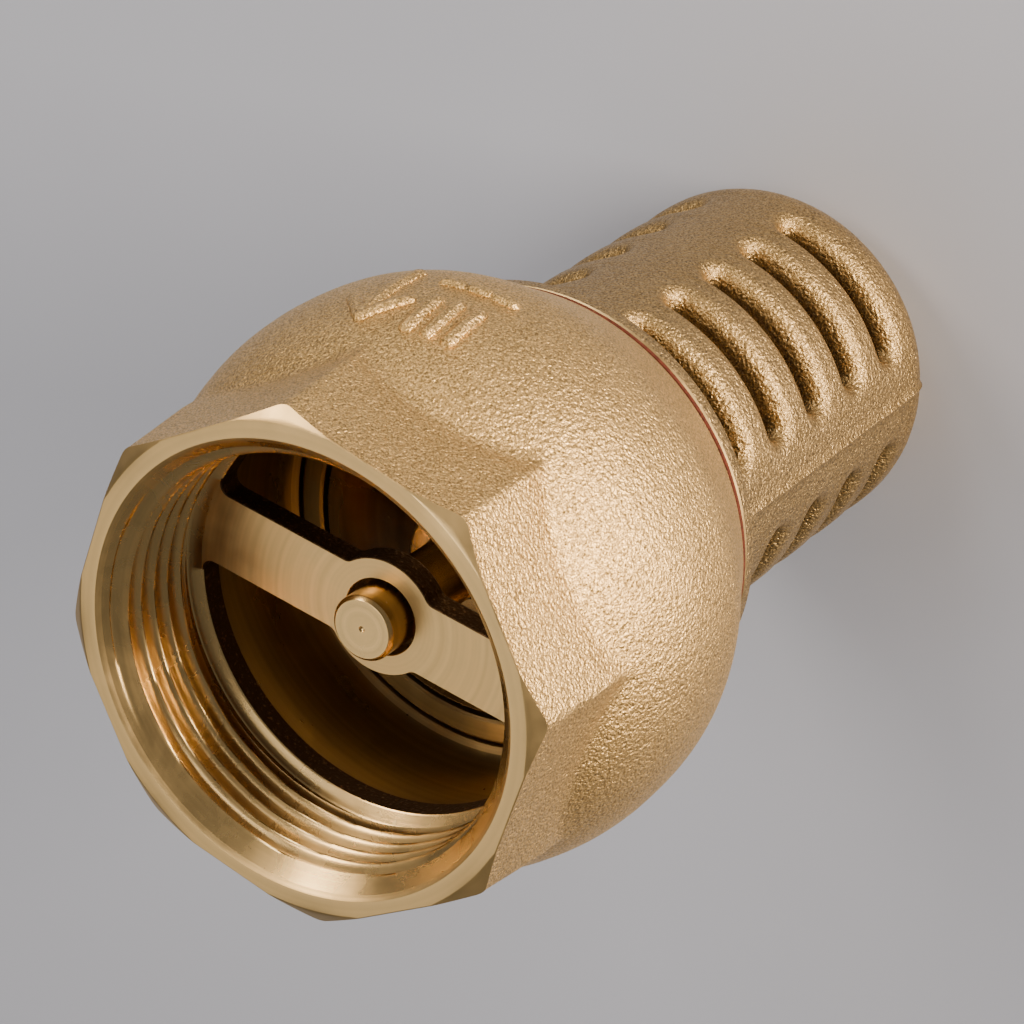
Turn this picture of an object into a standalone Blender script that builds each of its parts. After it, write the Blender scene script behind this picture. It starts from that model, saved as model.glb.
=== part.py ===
"""Foot valve for the lower end of a suction pipe.

A cast brass body carries a threaded pipe socket and a guide bridge. A slotted strainer screws
in below it against a gasket, and its neck holds the seat. A guided poppet closes on the seat
by its own weight and lifts when water is drawn up.
Metres, +Z up along the valve axis, origin at the middle of the strainer's closed end.
"""

import math

import bmesh
import bpy

# General
FACE_GAP = 0.0003            # between two pieces that meet face to face
TURNED_SEGMENTS = 64
SMALL_SEGMENTS = 32
OVERCUT = 0.0010             # how far a cutter runs past the face it cuts
SUNK = 0.0010                # how far an arm is sunk into the wall that carries it

# Pipe socket at the top of the body
PIPE_BORE_RADIUS = 0.02242   # at the crests of the pipe thread
THREAD_DEPTH = 0.00148
SOCKET_DEPTH = 0.0151        # mouth to guide bridge
SOCKET_WALL = 0.0032         # thread root to the flats
SOCKET_SIDES = 8
MOUTH_RING_INSET = 0.0003    # turned mouth ring inside the flats
CORNER_BEVEL_RISE = 0.70     # height per unit of radius of the turned corner bevel
RELIEF_LENGTH = 0.0017
RELIEF_RAMP = 0.0004

# Guide bridge across the bottom of the socket
LAND_STEP = 0.0002           # thread crests to the land round the windows
BRIDGE_THICKNESS = 0.0032
BRIDGE_WIDTH = 0.0084
BRIDGE_TURN = math.radians(50.3)
BOSS_WALL = 0.0023

# Globe
CHAMBER_HEIGHT = 0.0162      # bridge to the top of the strainer's neck
CHAMBER_SWELL = 0.0047       # land to the widest place of the chamber
CHAMBER_ROOF_STEP = 0.0020
EQUATOR_DROP = 0.0087        # bridge to the widest place
GLOBE_WALL = 0.0049
GLOBE_FRONT_RADIUS = 0.0277
BEVEL_RINGS = 3
FRONT_RINGS = 16
LIP_SLOPE = 0.45             # radius lost per unit of height just above the lip
LIP_WALL = 0.0023

# Strainer: threaded neck, flange, shoulder and basket
NECK_STEP = 0.0010           # land to the neck's outside
NECK_LENGTH = 0.0110         # screwed into the body
NECK_WALL = 0.0029
NECK_ENTRY = 0.0006
FLANGE_THICKNESS = 0.0020
FLANGE_INSET = 0.0004
SHOULDER_HEIGHT = 0.0044
BASKET_STEP = 0.0026         # neck to the basket's outside
BASKET_LENGTH = 0.0490
BASKET_WALL = 0.0028
END_THICKNESS = 0.0035
END_ROUNDING = 0.0060
INNER_ROUNDING = 0.0030

# Slots in the basket
SLOT_COLUMNS = 4
SLOT_ROWS = 5
SLOT_HEIGHT = 0.0030
SLOT_SPAN = math.radians(58)
SLOT_TURN = math.radians(-70)
FIRST_SLOT_DROP = 0.0033     # basket top to the middle of the first row
LAST_SLOT_RISE = 0.0107      # closed end to the middle of the last row
SLOT_STEPS = 8

# Gasket between body and strainer
GASKET_THICKNESS = 0.0005
GASKET_INSET = 0.0002

# Seat in the neck
SEAT_LEDGE = 0.0045
SEAT_LIP_HEIGHT = 0.0008
SEAT_LIP_WIDTH = 0.0015

# Poppet
STEM_RADIUS = 0.00365
GUIDE_GAP = 0.00059          # stem to the hole in the bridge
STEM_STAND = 0.0034          # stem tip above the bridge when closed
STEM_BEVEL = 0.0004
COLLAR_RADIUS = 0.0062
COLLAR_HEIGHT = 0.0042
STOP_GAP = 0.0001            # collar to bridge at full lift
SHANK_RADIUS = 0.0030
TAIL_RADIUS = 0.0026
TAIL_GAP = 0.0003
TAIL_OVERLAP = 0.0015        # tail still below the spider at full lift
DISC_THICKNESS = 0.0035
DISC_SIDE_GAP = 0.0005
DISC_BEVEL = 0.0004
SEAL_THICKNESS = 0.0020
SEAL_INSET = 0.0005
WASHER_THICKNESS = 0.0012
WASHER_SIDE_ROOM = 0.0033    # washer to the throat
LOCK_WASHER_THICKNESS = 0.0010
LOCK_WASHER_WIDTH = 0.0020
LOCK_WASHER_SPLIT = 0.0006
NUT_ACROSS_FLATS = 0.0100
NUT_HEIGHT = 0.0040

# Lower guide in the neck
SPIDER_GAP = 0.0025          # nut to the spider
SPIDER_THICKNESS = 0.0030
SPIDER_WIDTH = 0.0060
SPIDER_BOSS_WALL = 0.0026
THROAT_RUN_OUT = 0.0003

# Radii that follow
LAND_RADIUS = PIPE_BORE_RADIUS - LAND_STEP
THREAD_ROOT_RADIUS = PIPE_BORE_RADIUS + THREAD_DEPTH
APOTHEM = THREAD_ROOT_RADIUS + SOCKET_WALL
CHAMBER_RADIUS = LAND_RADIUS + CHAMBER_SWELL
GLOBE_RADIUS = CHAMBER_RADIUS + GLOBE_WALL
NECK_RADIUS = LAND_RADIUS + NECK_STEP
REAR_BORE_RADIUS = NECK_RADIUS + FACE_GAP
LIP_RADIUS = REAR_BORE_RADIUS + LIP_WALL
FLANGE_RADIUS = LIP_RADIUS - FLANGE_INSET
BASKET_RADIUS = NECK_RADIUS - BASKET_STEP
BASKET_BORE_RADIUS = BASKET_RADIUS - BASKET_WALL
COUNTERBORE_RADIUS = NECK_RADIUS - NECK_WALL
THROAT_RADIUS = COUNTERBORE_RADIUS - SEAT_LEDGE
DISC_RADIUS = COUNTERBORE_RADIUS - DISC_SIDE_GAP
SEAL_RADIUS = DISC_RADIUS - SEAL_INSET
SHANK_HOLE_RADIUS = SHANK_RADIUS + FACE_GAP
GUIDE_HOLE_RADIUS = STEM_RADIUS + GUIDE_GAP
TAIL_HOLE_RADIUS = TAIL_RADIUS + TAIL_GAP

# Heights that follow, from the closed end up
BASKET_TOP = BASKET_LENGTH
FLANGE_BOTTOM = BASKET_TOP + SHOULDER_HEIGHT
FLANGE_TOP = FLANGE_BOTTOM + FLANGE_THICKNESS
GASKET_BOTTOM = FLANGE_TOP + FACE_GAP
LIP_FACE = GASKET_BOTTOM + GASKET_THICKNESS + FACE_GAP
NECK_TOP = LIP_FACE + NECK_LENGTH
BRIDGE_BOTTOM = NECK_TOP + CHAMBER_HEIGHT
BRIDGE_TOP = BRIDGE_BOTTOM + BRIDGE_THICKNESS
MOUTH = BRIDGE_TOP + SOCKET_DEPTH
EQUATOR = BRIDGE_BOTTOM - EQUATOR_DROP

# The poppet's own heights, down from the top of its disc, which is level with the neck's top
DISC_BOTTOM = -DISC_THICKNESS
SEAL_TOP = DISC_BOTTOM - FACE_GAP
SEAL_BOTTOM = SEAL_TOP - SEAL_THICKNESS
WASHER_TOP = SEAL_BOTTOM - FACE_GAP
WASHER_BOTTOM = WASHER_TOP - WASHER_THICKNESS
LOCK_WASHER_TOP = WASHER_BOTTOM - FACE_GAP
LOCK_WASHER_BOTTOM = LOCK_WASHER_TOP - LOCK_WASHER_THICKNESS
NUT_TOP = LOCK_WASHER_BOTTOM - FACE_GAP
NUT_BOTTOM = NUT_TOP - NUT_HEIGHT
COLLAR_TOP = FACE_GAP + COLLAR_HEIGHT
LIFT = CHAMBER_HEIGHT - COLLAR_TOP - STOP_GAP
STEM_TIP = CHAMBER_HEIGHT + BRIDGE_THICKNESS + STEM_STAND

SEAT_FACE = NECK_TOP + SEAL_BOTTOM - FACE_GAP
SPIDER_TOP = NECK_TOP + NUT_BOTTOM - SPIDER_GAP
SPIDER_BOTTOM = SPIDER_TOP - SPIDER_THICKNESS
TAIL_END = SPIDER_BOTTOM - NECK_TOP - LIFT - TAIL_OVERLAP


def clear_scene():
    for thing in list(bpy.data.objects):
        bpy.data.objects.remove(thing, do_unlink=True)


def make_material(name, colour, roughness, metallic):
    material = bpy.data.materials.new(name)
    material.use_nodes = True
    shader = material.node_tree.nodes["Principled BSDF"]
    shader.inputs["Base Color"].default_value = (*colour, 1.0)
    shader.inputs["Roughness"].default_value = roughness
    shader.inputs["Metallic"].default_value = metallic
    return material


def add_object(name, shape, material=None, parent=None, height=0.0):
    mesh = bpy.data.meshes.new(name)
    bmesh.ops.recalc_face_normals(shape, faces=shape.faces)
    shape.to_mesh(mesh)
    shape.free()
    mesh.shade_smooth()
    mesh.set_sharp_from_angle(angle=math.radians(30))
    thing = bpy.data.objects.new(name, mesh)
    bpy.context.collection.objects.link(thing)
    thing.parent = parent
    thing.location.z = height
    if material:
        mesh.materials.append(material)
    else:
        thing.hide_render = True
        thing.display_type = "WIRE"
    return thing


def add_empty(name, parent=None, height=0.0):
    empty = bpy.data.objects.new(name, None)
    bpy.context.collection.objects.link(empty)
    empty.parent = parent
    empty.location.z = height
    empty.empty_display_size = PIPE_BORE_RADIUS
    return empty


def combine(target, tool, operation="DIFFERENCE"):
    modifier = target.modifiers.new(tool.name, "BOOLEAN")
    modifier.operation = operation
    modifier.solver = "EXACT"
    modifier.object = tool


def arc(centre_radius, centre_height, radius, start, end, steps):
    """Points along an arc in the turned section, angles from straight out towards up."""
    points = []
    for step in range(steps + 1):
        angle = math.radians(start + (end - start) * step / steps)
        points.append((centre_radius + radius * math.cos(angle),
                       centre_height + radius * math.sin(angle)))
    return points


def easing(first, first_handle, last_handle, last, steps):
    """Points along a cubic curve between two ends with their handles."""
    points = []
    for step in range(steps + 1):
        t = step / steps
        weights = ((1 - t) ** 3, 3 * t * (1 - t) ** 2, 3 * t ** 2 * (1 - t), t ** 3)
        corners = (first, first_handle, last_handle, last)
        points.append(tuple(sum(w * c[axis] for w, c in zip(weights, corners))
                            for axis in (0, 1)))
    return points


def turned_shape(outline, segments=TURNED_SEGMENTS):
    """Turns (radius, height) points about Z. An outline that leaves the axis is a closed ring."""
    shape = bmesh.new()
    corners = [shape.verts.new((radius, 0.0, height)) for radius, height in outline]
    edges = [shape.edges.new(pair) for pair in zip(corners, corners[1:])]
    if outline[0][0] > 0.0:
        edges.append(shape.edges.new((corners[-1], corners[0])))
    bmesh.ops.spin(shape, geom=corners + edges, cent=(0, 0, 0), axis=(0, 0, 1),
                   angle=2 * math.pi, steps=segments, use_merge=True)
    bmesh.ops.remove_doubles(shape, verts=shape.verts, dist=1e-6)
    return shape


def prism_shape(outline, bottom, top):
    """Raises a flat (x, y) outline into a prism."""
    shape = bmesh.new()
    floor = shape.faces.new([shape.verts.new((x, y, bottom)) for x, y in outline])
    raised = bmesh.ops.extrude_face_region(shape, geom=[floor])["geom"]
    moved = [item for item in raised if isinstance(item, bmesh.types.BMVert)]
    bmesh.ops.translate(shape, verts=moved, vec=(0, 0, top - bottom))
    return shape


def ring_points(radii, height):
    turn = 2 * math.pi / len(radii)
    return [(radius * math.cos(turn * step), radius * math.sin(turn * step), height)
            for step, radius in enumerate(radii)]


def loft_shape(rings):
    """A skin over rings of points, closed by a flat face at each end."""
    shape = bmesh.new()
    loops = [[shape.verts.new(point) for point in ring] for ring in rings]
    for upper, lower in zip(loops, loops[1:]):
        for step in range(len(upper)):
            after = (step + 1) % len(upper)
            shape.faces.new((upper[step], upper[after], lower[after], lower[step]))
    shape.faces.new(loops[0])
    shape.faces.new(loops[-1])
    return shape


def round_points(radius, start, end, steps):
    return [(radius * math.cos(start + (end - start) * step / steps),
             radius * math.sin(start + (end - start) * step / steps))
            for step in range(steps + 1)]


def polygon_points(apothem, sides):
    radius = apothem / math.cos(math.pi / sides)
    half = math.pi / sides
    return round_points(radius, half, half + 2 * math.pi, sides)[:-1]


def turned_points(points, angle):
    cosine, sine = math.cos(angle), math.sin(angle)
    return [(x * cosine - y * sine, x * sine + y * cosine) for x, y in points]


def bar_side(half_width, boss_radius, reach, steps):
    """The edge of a bar and its round boss, from the far end at +X to the far end at -X."""
    meet = math.asin(half_width / boss_radius)
    boss = round_points(boss_radius, meet, math.pi - meet, steps)
    return [(reach, half_width), *boss, (-reach, half_width)]


def globe_front_radius(height):
    rise = min(height - EQUATOR, GLOBE_FRONT_RADIUS)
    return GLOBE_RADIUS - GLOBE_FRONT_RADIUS + math.sqrt(GLOBE_FRONT_RADIUS ** 2 - rise ** 2)


def socket_radius(angle, height):
    """The wrench flats, with the turned bevel that takes their corners off at the mouth."""
    side = 2 * math.pi / SOCKET_SIDES
    off_middle = (angle + side / 2) % side - side / 2
    bevel = APOTHEM - MOUTH_RING_INSET + (MOUTH - height) / CORNER_BEVEL_RISE
    return min(APOTHEM / math.cos(off_middle), bevel)


def body_outside():
    """The octagon runs into the globe wherever the globe stands further out."""
    corner = APOTHEM / math.cos(math.pi / SOCKET_SIDES)
    bevel_drop = (corner - APOTHEM + MOUTH_RING_INSET) * CORNER_BEVEL_RISE
    heights = [MOUTH - bevel_drop * step / BEVEL_RINGS for step in range(BEVEL_RINGS)]
    front = MOUTH - bevel_drop - EQUATOR
    heights += [EQUATOR + front * (1 - step / FRONT_RINGS) for step in range(FRONT_RINGS)]
    turn = 2 * math.pi / TURNED_SEGMENTS
    rings = []
    for height in heights:
        radii = [max(socket_radius(turn * step, height), globe_front_radius(height))
                 for step in range(TURNED_SEGMENTS)]
        rings.append(ring_points(radii, height))
    reach = (EQUATOR - LIP_FACE) / 2
    rear = easing((GLOBE_RADIUS, EQUATOR), (GLOBE_RADIUS, EQUATOR - reach),
                  (LIP_RADIUS + reach * LIP_SLOPE, LIP_FACE + reach), (LIP_RADIUS, LIP_FACE), 8)
    rings += [ring_points([radius] * TURNED_SEGMENTS, height) for radius, height in rear]
    return loft_shape(rings)


def make_body(material, parent):
    body = add_object("valve_body", body_outside(), material, parent)

    relief_end = BRIDGE_TOP + RELIEF_RAMP
    chamfer = THREAD_DEPTH + OVERCUT
    socket = turned_shape([
        (0.0, MOUTH + OVERCUT), (PIPE_BORE_RADIUS + chamfer + OVERCUT, MOUTH + OVERCUT),
        (PIPE_BORE_RADIUS, MOUTH - chamfer),
        (PIPE_BORE_RADIUS, relief_end + RELIEF_LENGTH + RELIEF_RAMP),
        (THREAD_ROOT_RADIUS, relief_end + RELIEF_LENGTH), (THREAD_ROOT_RADIUS, relief_end),
        (LAND_RADIUS, BRIDGE_TOP), (0.0, BRIDGE_TOP)])
    combine(body, add_object("socket_cutter", socket))

    swell = NECK_TOP + FACE_GAP
    chamber = turned_shape([
        (0.0, BRIDGE_BOTTOM), (LAND_RADIUS + CHAMBER_ROOF_STEP, BRIDGE_BOTTOM),
        *easing((LAND_RADIUS + CHAMBER_ROOF_STEP, BRIDGE_BOTTOM - FACE_GAP),
                (CHAMBER_RADIUS, EQUATOR + EQUATOR_DROP / 2),
                (CHAMBER_RADIUS, EQUATOR - EQUATOR_DROP / 2),
                (REAR_BORE_RADIUS + NECK_ENTRY, swell), 8),
        (REAR_BORE_RADIUS, swell - NECK_ENTRY),
        (REAR_BORE_RADIUS, LIP_FACE - OVERCUT), (0.0, LIP_FACE - OVERCUT)])
    combine(body, add_object("chamber_cutter", chamber))

    half = BRIDGE_WIDTH / 2
    edge = math.asin(half / LAND_RADIUS)
    side = bar_side(half, GUIDE_HOLE_RADIUS + BOSS_WALL, LAND_RADIUS * math.cos(edge), 10)
    window = side + round_points(LAND_RADIUS, math.pi - edge, edge, 26)[1:-1]
    for number, turn in enumerate((BRIDGE_TURN, BRIDGE_TURN + math.pi), start=1):
        cutter = prism_shape(turned_points(window, turn), BRIDGE_BOTTOM - OVERCUT / 2,
                             BRIDGE_TOP + OVERCUT / 2)
        combine(body, add_object(f"window_cutter_{number}", cutter))

    hole = turned_shape([
        (0.0, BRIDGE_TOP + OVERCUT), (GUIDE_HOLE_RADIUS, BRIDGE_TOP + OVERCUT),
        (GUIDE_HOLE_RADIUS, BRIDGE_BOTTOM - OVERCUT), (0.0, BRIDGE_BOTTOM - OVERCUT)],
        SMALL_SEGMENTS)
    combine(body, add_object("guide_hole_cutter", hole))


def make_gasket(material, parent):
    inner, outer = NECK_RADIUS + FACE_GAP, LIP_RADIUS - GASKET_INSET
    shape = turned_shape([(outer, GASKET_THICKNESS), (outer, 0.0),
                          (inner, 0.0), (inner, GASKET_THICKNESS)])
    add_object("body_gasket", shape, material, parent, GASKET_BOTTOM)


def strainer_outline():
    """From the closed end's middle up the outside, over the neck and down the inside."""
    end_outside = arc(BASKET_RADIUS - END_ROUNDING, END_ROUNDING, END_ROUNDING, -90, 0, 6)
    shoulder = easing((BASKET_RADIUS, BASKET_TOP), (BASKET_RADIUS, FLANGE_BOTTOM),
                      (BASKET_RADIUS, FLANGE_BOTTOM), (FLANGE_RADIUS, FLANGE_BOTTOM), 5)
    neck = [(FLANGE_RADIUS, FLANGE_TOP), (NECK_RADIUS, FLANGE_TOP),
            (NECK_RADIUS, NECK_TOP - NECK_ENTRY), (NECK_RADIUS - NECK_ENTRY, NECK_TOP)]
    lip_foot = SEAT_FACE - SEAT_LIP_HEIGHT
    seat = [(COUNTERBORE_RADIUS, NECK_TOP), (COUNTERBORE_RADIUS, lip_foot),
            (THROAT_RADIUS + 2 * SEAT_LIP_WIDTH, lip_foot),
            (THROAT_RADIUS + SEAT_LIP_WIDTH, SEAT_FACE), (THROAT_RADIUS, SEAT_FACE)]
    throat_end = SPIDER_BOTTOM - THROAT_RUN_OUT
    flare = BASKET_BORE_RADIUS - THROAT_RADIUS
    throat = [(THROAT_RADIUS, throat_end), (BASKET_BORE_RADIUS, throat_end - abs(flare))]
    end_inside = arc(BASKET_BORE_RADIUS - INNER_ROUNDING, END_THICKNESS + INNER_ROUNDING,
                     INNER_ROUNDING, 0, -90, 3)
    return [(0.0, 0.0), *end_outside, *shoulder, *neck, *seat, *throat, *end_inside,
            (0.0, END_THICKNESS)]


def make_slot_cutters():
    """One sector for each slot, all in one mesh, four columns of five rows."""
    shape = bmesh.new()
    inner, outer = BASKET_BORE_RADIUS - OVERCUT, BASKET_RADIUS + OVERCUT
    pitch = (BASKET_LENGTH - FIRST_SLOT_DROP - LAST_SLOT_RISE) / (SLOT_ROWS - 1)
    for column in range(SLOT_COLUMNS):
        middle = SLOT_TURN + column * 2 * math.pi / SLOT_COLUMNS
        start, end = middle - SLOT_SPAN / 2, middle + SLOT_SPAN / 2
        ring = round_points(outer, start, end, SLOT_STEPS)
        ring += round_points(inner, end, start, SLOT_STEPS)
        for row in range(SLOT_ROWS):
            height = LAST_SLOT_RISE + row * pitch - SLOT_HEIGHT / 2
            floor = shape.faces.new([shape.verts.new((x, y, height)) for x, y in ring])
            raised = bmesh.ops.extrude_face_region(shape, geom=[floor])["geom"]
            moved = [item for item in raised if isinstance(item, bmesh.types.BMVert)]
            bmesh.ops.translate(shape, verts=moved, vec=(0, 0, SLOT_HEIGHT))
    return add_object("slot_cutter", shape)


def make_strainer(material, parent):
    strainer = add_object("strainer", turned_shape(strainer_outline()), material, parent)

    side = bar_side(SPIDER_WIDTH / 2, TAIL_HOLE_RADIUS + SPIDER_BOSS_WALL,
                    THROAT_RADIUS + SUNK, 6)
    outline = side + turned_points(side, math.pi)
    spider = prism_shape(turned_points(outline, BRIDGE_TURN), SPIDER_BOTTOM, SPIDER_TOP)
    combine(strainer, add_object("spider_guide", spider), "UNION")

    hole = turned_shape([
        (0.0, SPIDER_TOP + OVERCUT), (TAIL_HOLE_RADIUS, SPIDER_TOP + OVERCUT),
        (TAIL_HOLE_RADIUS, SPIDER_BOTTOM - OVERCUT), (0.0, SPIDER_BOTTOM - OVERCUT)],
        SMALL_SEGMENTS)
    combine(strainer, add_object("spider_hole_cutter", hole))
    combine(strainer, make_slot_cutters())


def make_stem(material, poppet):
    """Upper stem, collar, shank through the disc, thread for the nut, and guide tail."""
    outline = [
        (0.0, STEM_TIP), (STEM_RADIUS - STEM_BEVEL, STEM_TIP),
        (STEM_RADIUS, STEM_TIP - STEM_BEVEL), (STEM_RADIUS, COLLAR_TOP),
        (COLLAR_RADIUS - STEM_BEVEL, COLLAR_TOP), (COLLAR_RADIUS, COLLAR_TOP - STEM_BEVEL),
        (COLLAR_RADIUS, FACE_GAP), (SHANK_RADIUS, FACE_GAP),
        (SHANK_RADIUS, NUT_BOTTOM - STEM_BEVEL), (TAIL_RADIUS, NUT_BOTTOM - 2 * STEM_BEVEL),
        (TAIL_RADIUS, TAIL_END + STEM_BEVEL), (TAIL_RADIUS - STEM_BEVEL, TAIL_END),
        (0.0, TAIL_END)]
    add_object("poppet_stem", turned_shape(outline, SMALL_SEGMENTS), material, poppet)


def make_ring(name, material, poppet, inner, outer, bottom, top, bevel=0.0):
    outline = [(outer - bevel, top), (outer, top - bevel)] if bevel else [(outer, top)]
    outline += [(outer, bottom), (inner, bottom), (inner, top)]
    return add_object(name, turned_shape(outline, SMALL_SEGMENTS), material, poppet)


def make_disc(material, poppet):
    outline = [(DISC_RADIUS - DISC_BEVEL, 0.0), (DISC_RADIUS, -DISC_BEVEL),
               (DISC_RADIUS, DISC_BOTTOM), (SHANK_HOLE_RADIUS, DISC_BOTTOM),
               (SHANK_HOLE_RADIUS, 0.0)]
    add_object("poppet_disc", turned_shape(outline), material, poppet)


def make_fastening(washer_material, nut_material, poppet):
    make_ring("seal_washer", washer_material, poppet, SHANK_HOLE_RADIUS,
              THROAT_RADIUS - WASHER_SIDE_ROOM, WASHER_BOTTOM, WASHER_TOP)

    outer = SHANK_HOLE_RADIUS + LOCK_WASHER_WIDTH
    ring = make_ring("lock_washer", washer_material, poppet, SHANK_HOLE_RADIUS, outer,
                     LOCK_WASHER_BOTTOM, LOCK_WASHER_TOP)
    half = LOCK_WASHER_SPLIT / 2
    gap = [(0.0, -half), (outer + OVERCUT, -half), (outer + OVERCUT, half), (0.0, half)]
    split = prism_shape(gap, LOCK_WASHER_BOTTOM - OVERCUT, LOCK_WASHER_TOP + OVERCUT)
    combine(ring, add_object("split_cutter", split, parent=poppet))

    hexagon = prism_shape(polygon_points(NUT_ACROSS_FLATS / 2, 6), NUT_BOTTOM, NUT_TOP)
    nut = add_object("stem_nut", hexagon, nut_material, poppet)
    bore = turned_shape([
        (0.0, NUT_TOP + OVERCUT), (SHANK_HOLE_RADIUS, NUT_TOP + OVERCUT),
        (SHANK_HOLE_RADIUS, NUT_BOTTOM - OVERCUT), (0.0, NUT_BOTTOM - OVERCUT)],
        SMALL_SEGMENTS)
    combine(nut, add_object("nut_bore_cutter", bore, parent=poppet))


def main():
    clear_scene()
    cast_brass = make_material("cast_brass", (0.52, 0.40, 0.22), 0.48, 1.0)
    strainer_brass = make_material("strainer_brass", (0.45, 0.33, 0.19), 0.50, 1.0)
    stem_brass = make_material("stem_brass", (0.72, 0.56, 0.30), 0.28, 1.0)
    disc_brass = make_material("disc_brass", (0.66, 0.48, 0.26), 0.30, 1.0)
    washer_brass = make_material("washer_brass", (0.70, 0.55, 0.30), 0.35, 1.0)
    nut_brass = make_material("nut_brass", (0.70, 0.54, 0.28), 0.32, 1.0)
    gasket_fibre = make_material("gasket_fibre", (0.20, 0.05, 0.03), 0.75, 0.0)
    seal_rubber = make_material("seal_rubber", (0.03, 0.03, 0.03), 0.65, 0.0)

    valve = add_empty("valve_axis")
    poppet = add_empty("poppet_axis", valve, NECK_TOP)
    make_body(cast_brass, valve)
    make_gasket(gasket_fibre, valve)
    make_strainer(strainer_brass, valve)
    make_stem(stem_brass, poppet)
    make_disc(disc_brass, poppet)
    make_ring("seat_seal", seal_rubber, poppet, SHANK_HOLE_RADIUS, SEAL_RADIUS,
              SEAL_BOTTOM, SEAL_TOP)
    make_fastening(washer_brass, nut_brass, poppet)


main()
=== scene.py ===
"""Foot valve: the finished surfaces of a cast brass foot valve with a slotted strainer.

Metres, +Z up along the valve axis, origin at the middle of the strainer's closed end.
"""

import math

import bmesh
import bpy
from mathutils import Matrix, Vector, noise


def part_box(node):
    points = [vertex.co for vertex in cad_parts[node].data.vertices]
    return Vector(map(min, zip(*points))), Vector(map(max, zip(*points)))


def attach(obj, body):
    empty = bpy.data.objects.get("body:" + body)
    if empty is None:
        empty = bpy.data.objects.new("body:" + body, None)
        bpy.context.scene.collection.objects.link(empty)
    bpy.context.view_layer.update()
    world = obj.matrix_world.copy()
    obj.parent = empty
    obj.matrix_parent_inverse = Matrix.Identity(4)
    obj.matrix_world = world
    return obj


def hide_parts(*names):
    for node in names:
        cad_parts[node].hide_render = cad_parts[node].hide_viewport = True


bl_info = {
    "name": "Foot Valve",
    "version": (1, 0, 0),
    "blender": (4, 5, 0),
    "location": "View3D > Sidebar > Foot Valve",
    "description": "Builds the visible surfaces of a cast brass foot valve",
    "category": "Object",
}

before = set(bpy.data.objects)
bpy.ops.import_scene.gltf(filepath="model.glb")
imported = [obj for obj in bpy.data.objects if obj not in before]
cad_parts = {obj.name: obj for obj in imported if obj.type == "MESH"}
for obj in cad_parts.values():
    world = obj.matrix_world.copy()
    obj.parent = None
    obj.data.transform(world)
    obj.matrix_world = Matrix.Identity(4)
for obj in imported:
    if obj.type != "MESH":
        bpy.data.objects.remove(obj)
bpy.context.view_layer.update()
NODE_BOXES = {node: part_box(node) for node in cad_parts}


def node_radius(node):
    low, high = NODE_BOXES[node]
    return (high.x - low.x) / 2


def node_top(node):
    return NODE_BOXES[node][1].z


def node_bottom(node):
    return NODE_BOXES[node][0].z


MOUTH = node_top("valve_body")
LIP_FACE = node_bottom("valve_body")
NECK_TOP = node_top("strainer")
FULL_TURN = 2 * math.pi
FINE = 1e-6                  # points closer than this are one point
MILLIMETRE = 0.001
MESH_GAP = 0.0003            # space kept between pieces that touch
BREAK = 0.0002               # broken edge of a turned piece
SHARP_ANGLE = math.radians(32)


def size(name, default, description):
    return bpy.props.FloatProperty(
        name=name, description=description, default=default, min=0.0, precision=5,
        subtype="DISTANCE", unit="LENGTH")


def turn(name, default, description):
    return bpy.props.FloatProperty(
        name=name, description=description, default=default, subtype="ANGLE", unit="ROTATION")


def tint(name, default, description):
    return bpy.props.FloatVectorProperty(
        name=name, description=description, default=default, size=3, min=0.0, max=1.0,
        subtype="COLOR")


def count(name, default, description):
    return bpy.props.IntProperty(name=name, description=description, default=default, min=1)


class BodySizes(bpy.types.PropertyGroup):
    """Cast body: socket, bridge and globe."""
    mouth_apothem: size("Flats at the mouth", 0.02645, "Axis to each flat at the mouth")
    socket_apothem: size("Flats at the globe", 0.0271, "Axis to each flat at the globe")
    draft_length: size("Draft length", 0.0105, "Height over which the flats widen")
    ridge_rounding: size("Ridge rounding", 0.0022, "Radius of the corners at the mouth")
    ring_radius: size("Mouth ring", 0.0268, "Outer edge of the turned mouth ring")
    scoop: size("Scoop", 0.0006, "Blend between the flats and the globe")
    bore: size("Bore", 0.02242, "Radius at the thread crests")
    thread_depth: size("Thread depth", 0.00148, "Crest to root")
    thread_pitch: size("Thread pitch", 0.002309, "Height of one turn")
    socket_depth: size("Socket depth", 0.0151, "Mouth to the guide bridge")
    bridge_thickness: size("Bridge thickness", 0.0032, "Height of the bridge")
    bridge_width: size("Bridge width", 0.0084, "Width of the bridge's arms")
    bridge_turn: turn("Bridge turn", math.radians(50.3), "Direction of the bridge's arms")
    boss_radius: size("Boss", 0.00654, "Round boss in the middle of the bridge")
    bridge_fillet: size("Bridge fillet", 0.0012, "Corners beside the boss and the wall")
    guide_hole: size("Guide hole", 0.00424, "Hole that guides the stem")
    mouth_chamfer: size("Mouth chamfer", 0.0010, "Chamfer past the thread's root")
    equator: size("Equator", 0.0270, "Mouth to the widest place of the globe")
    front_radius: size("Front radius", 0.0277, "Curve of the globe towards the mouth")
    chamber: size("Chamber", 0.02692, "Widest radius of the chamber")
    chamber_reach: size("Chamber reach", 0.00435, "How far the chamber's widest part reaches")
    lip_width: size("Lip width", 0.0021, "Width of the lip that holds the gasket")


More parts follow.
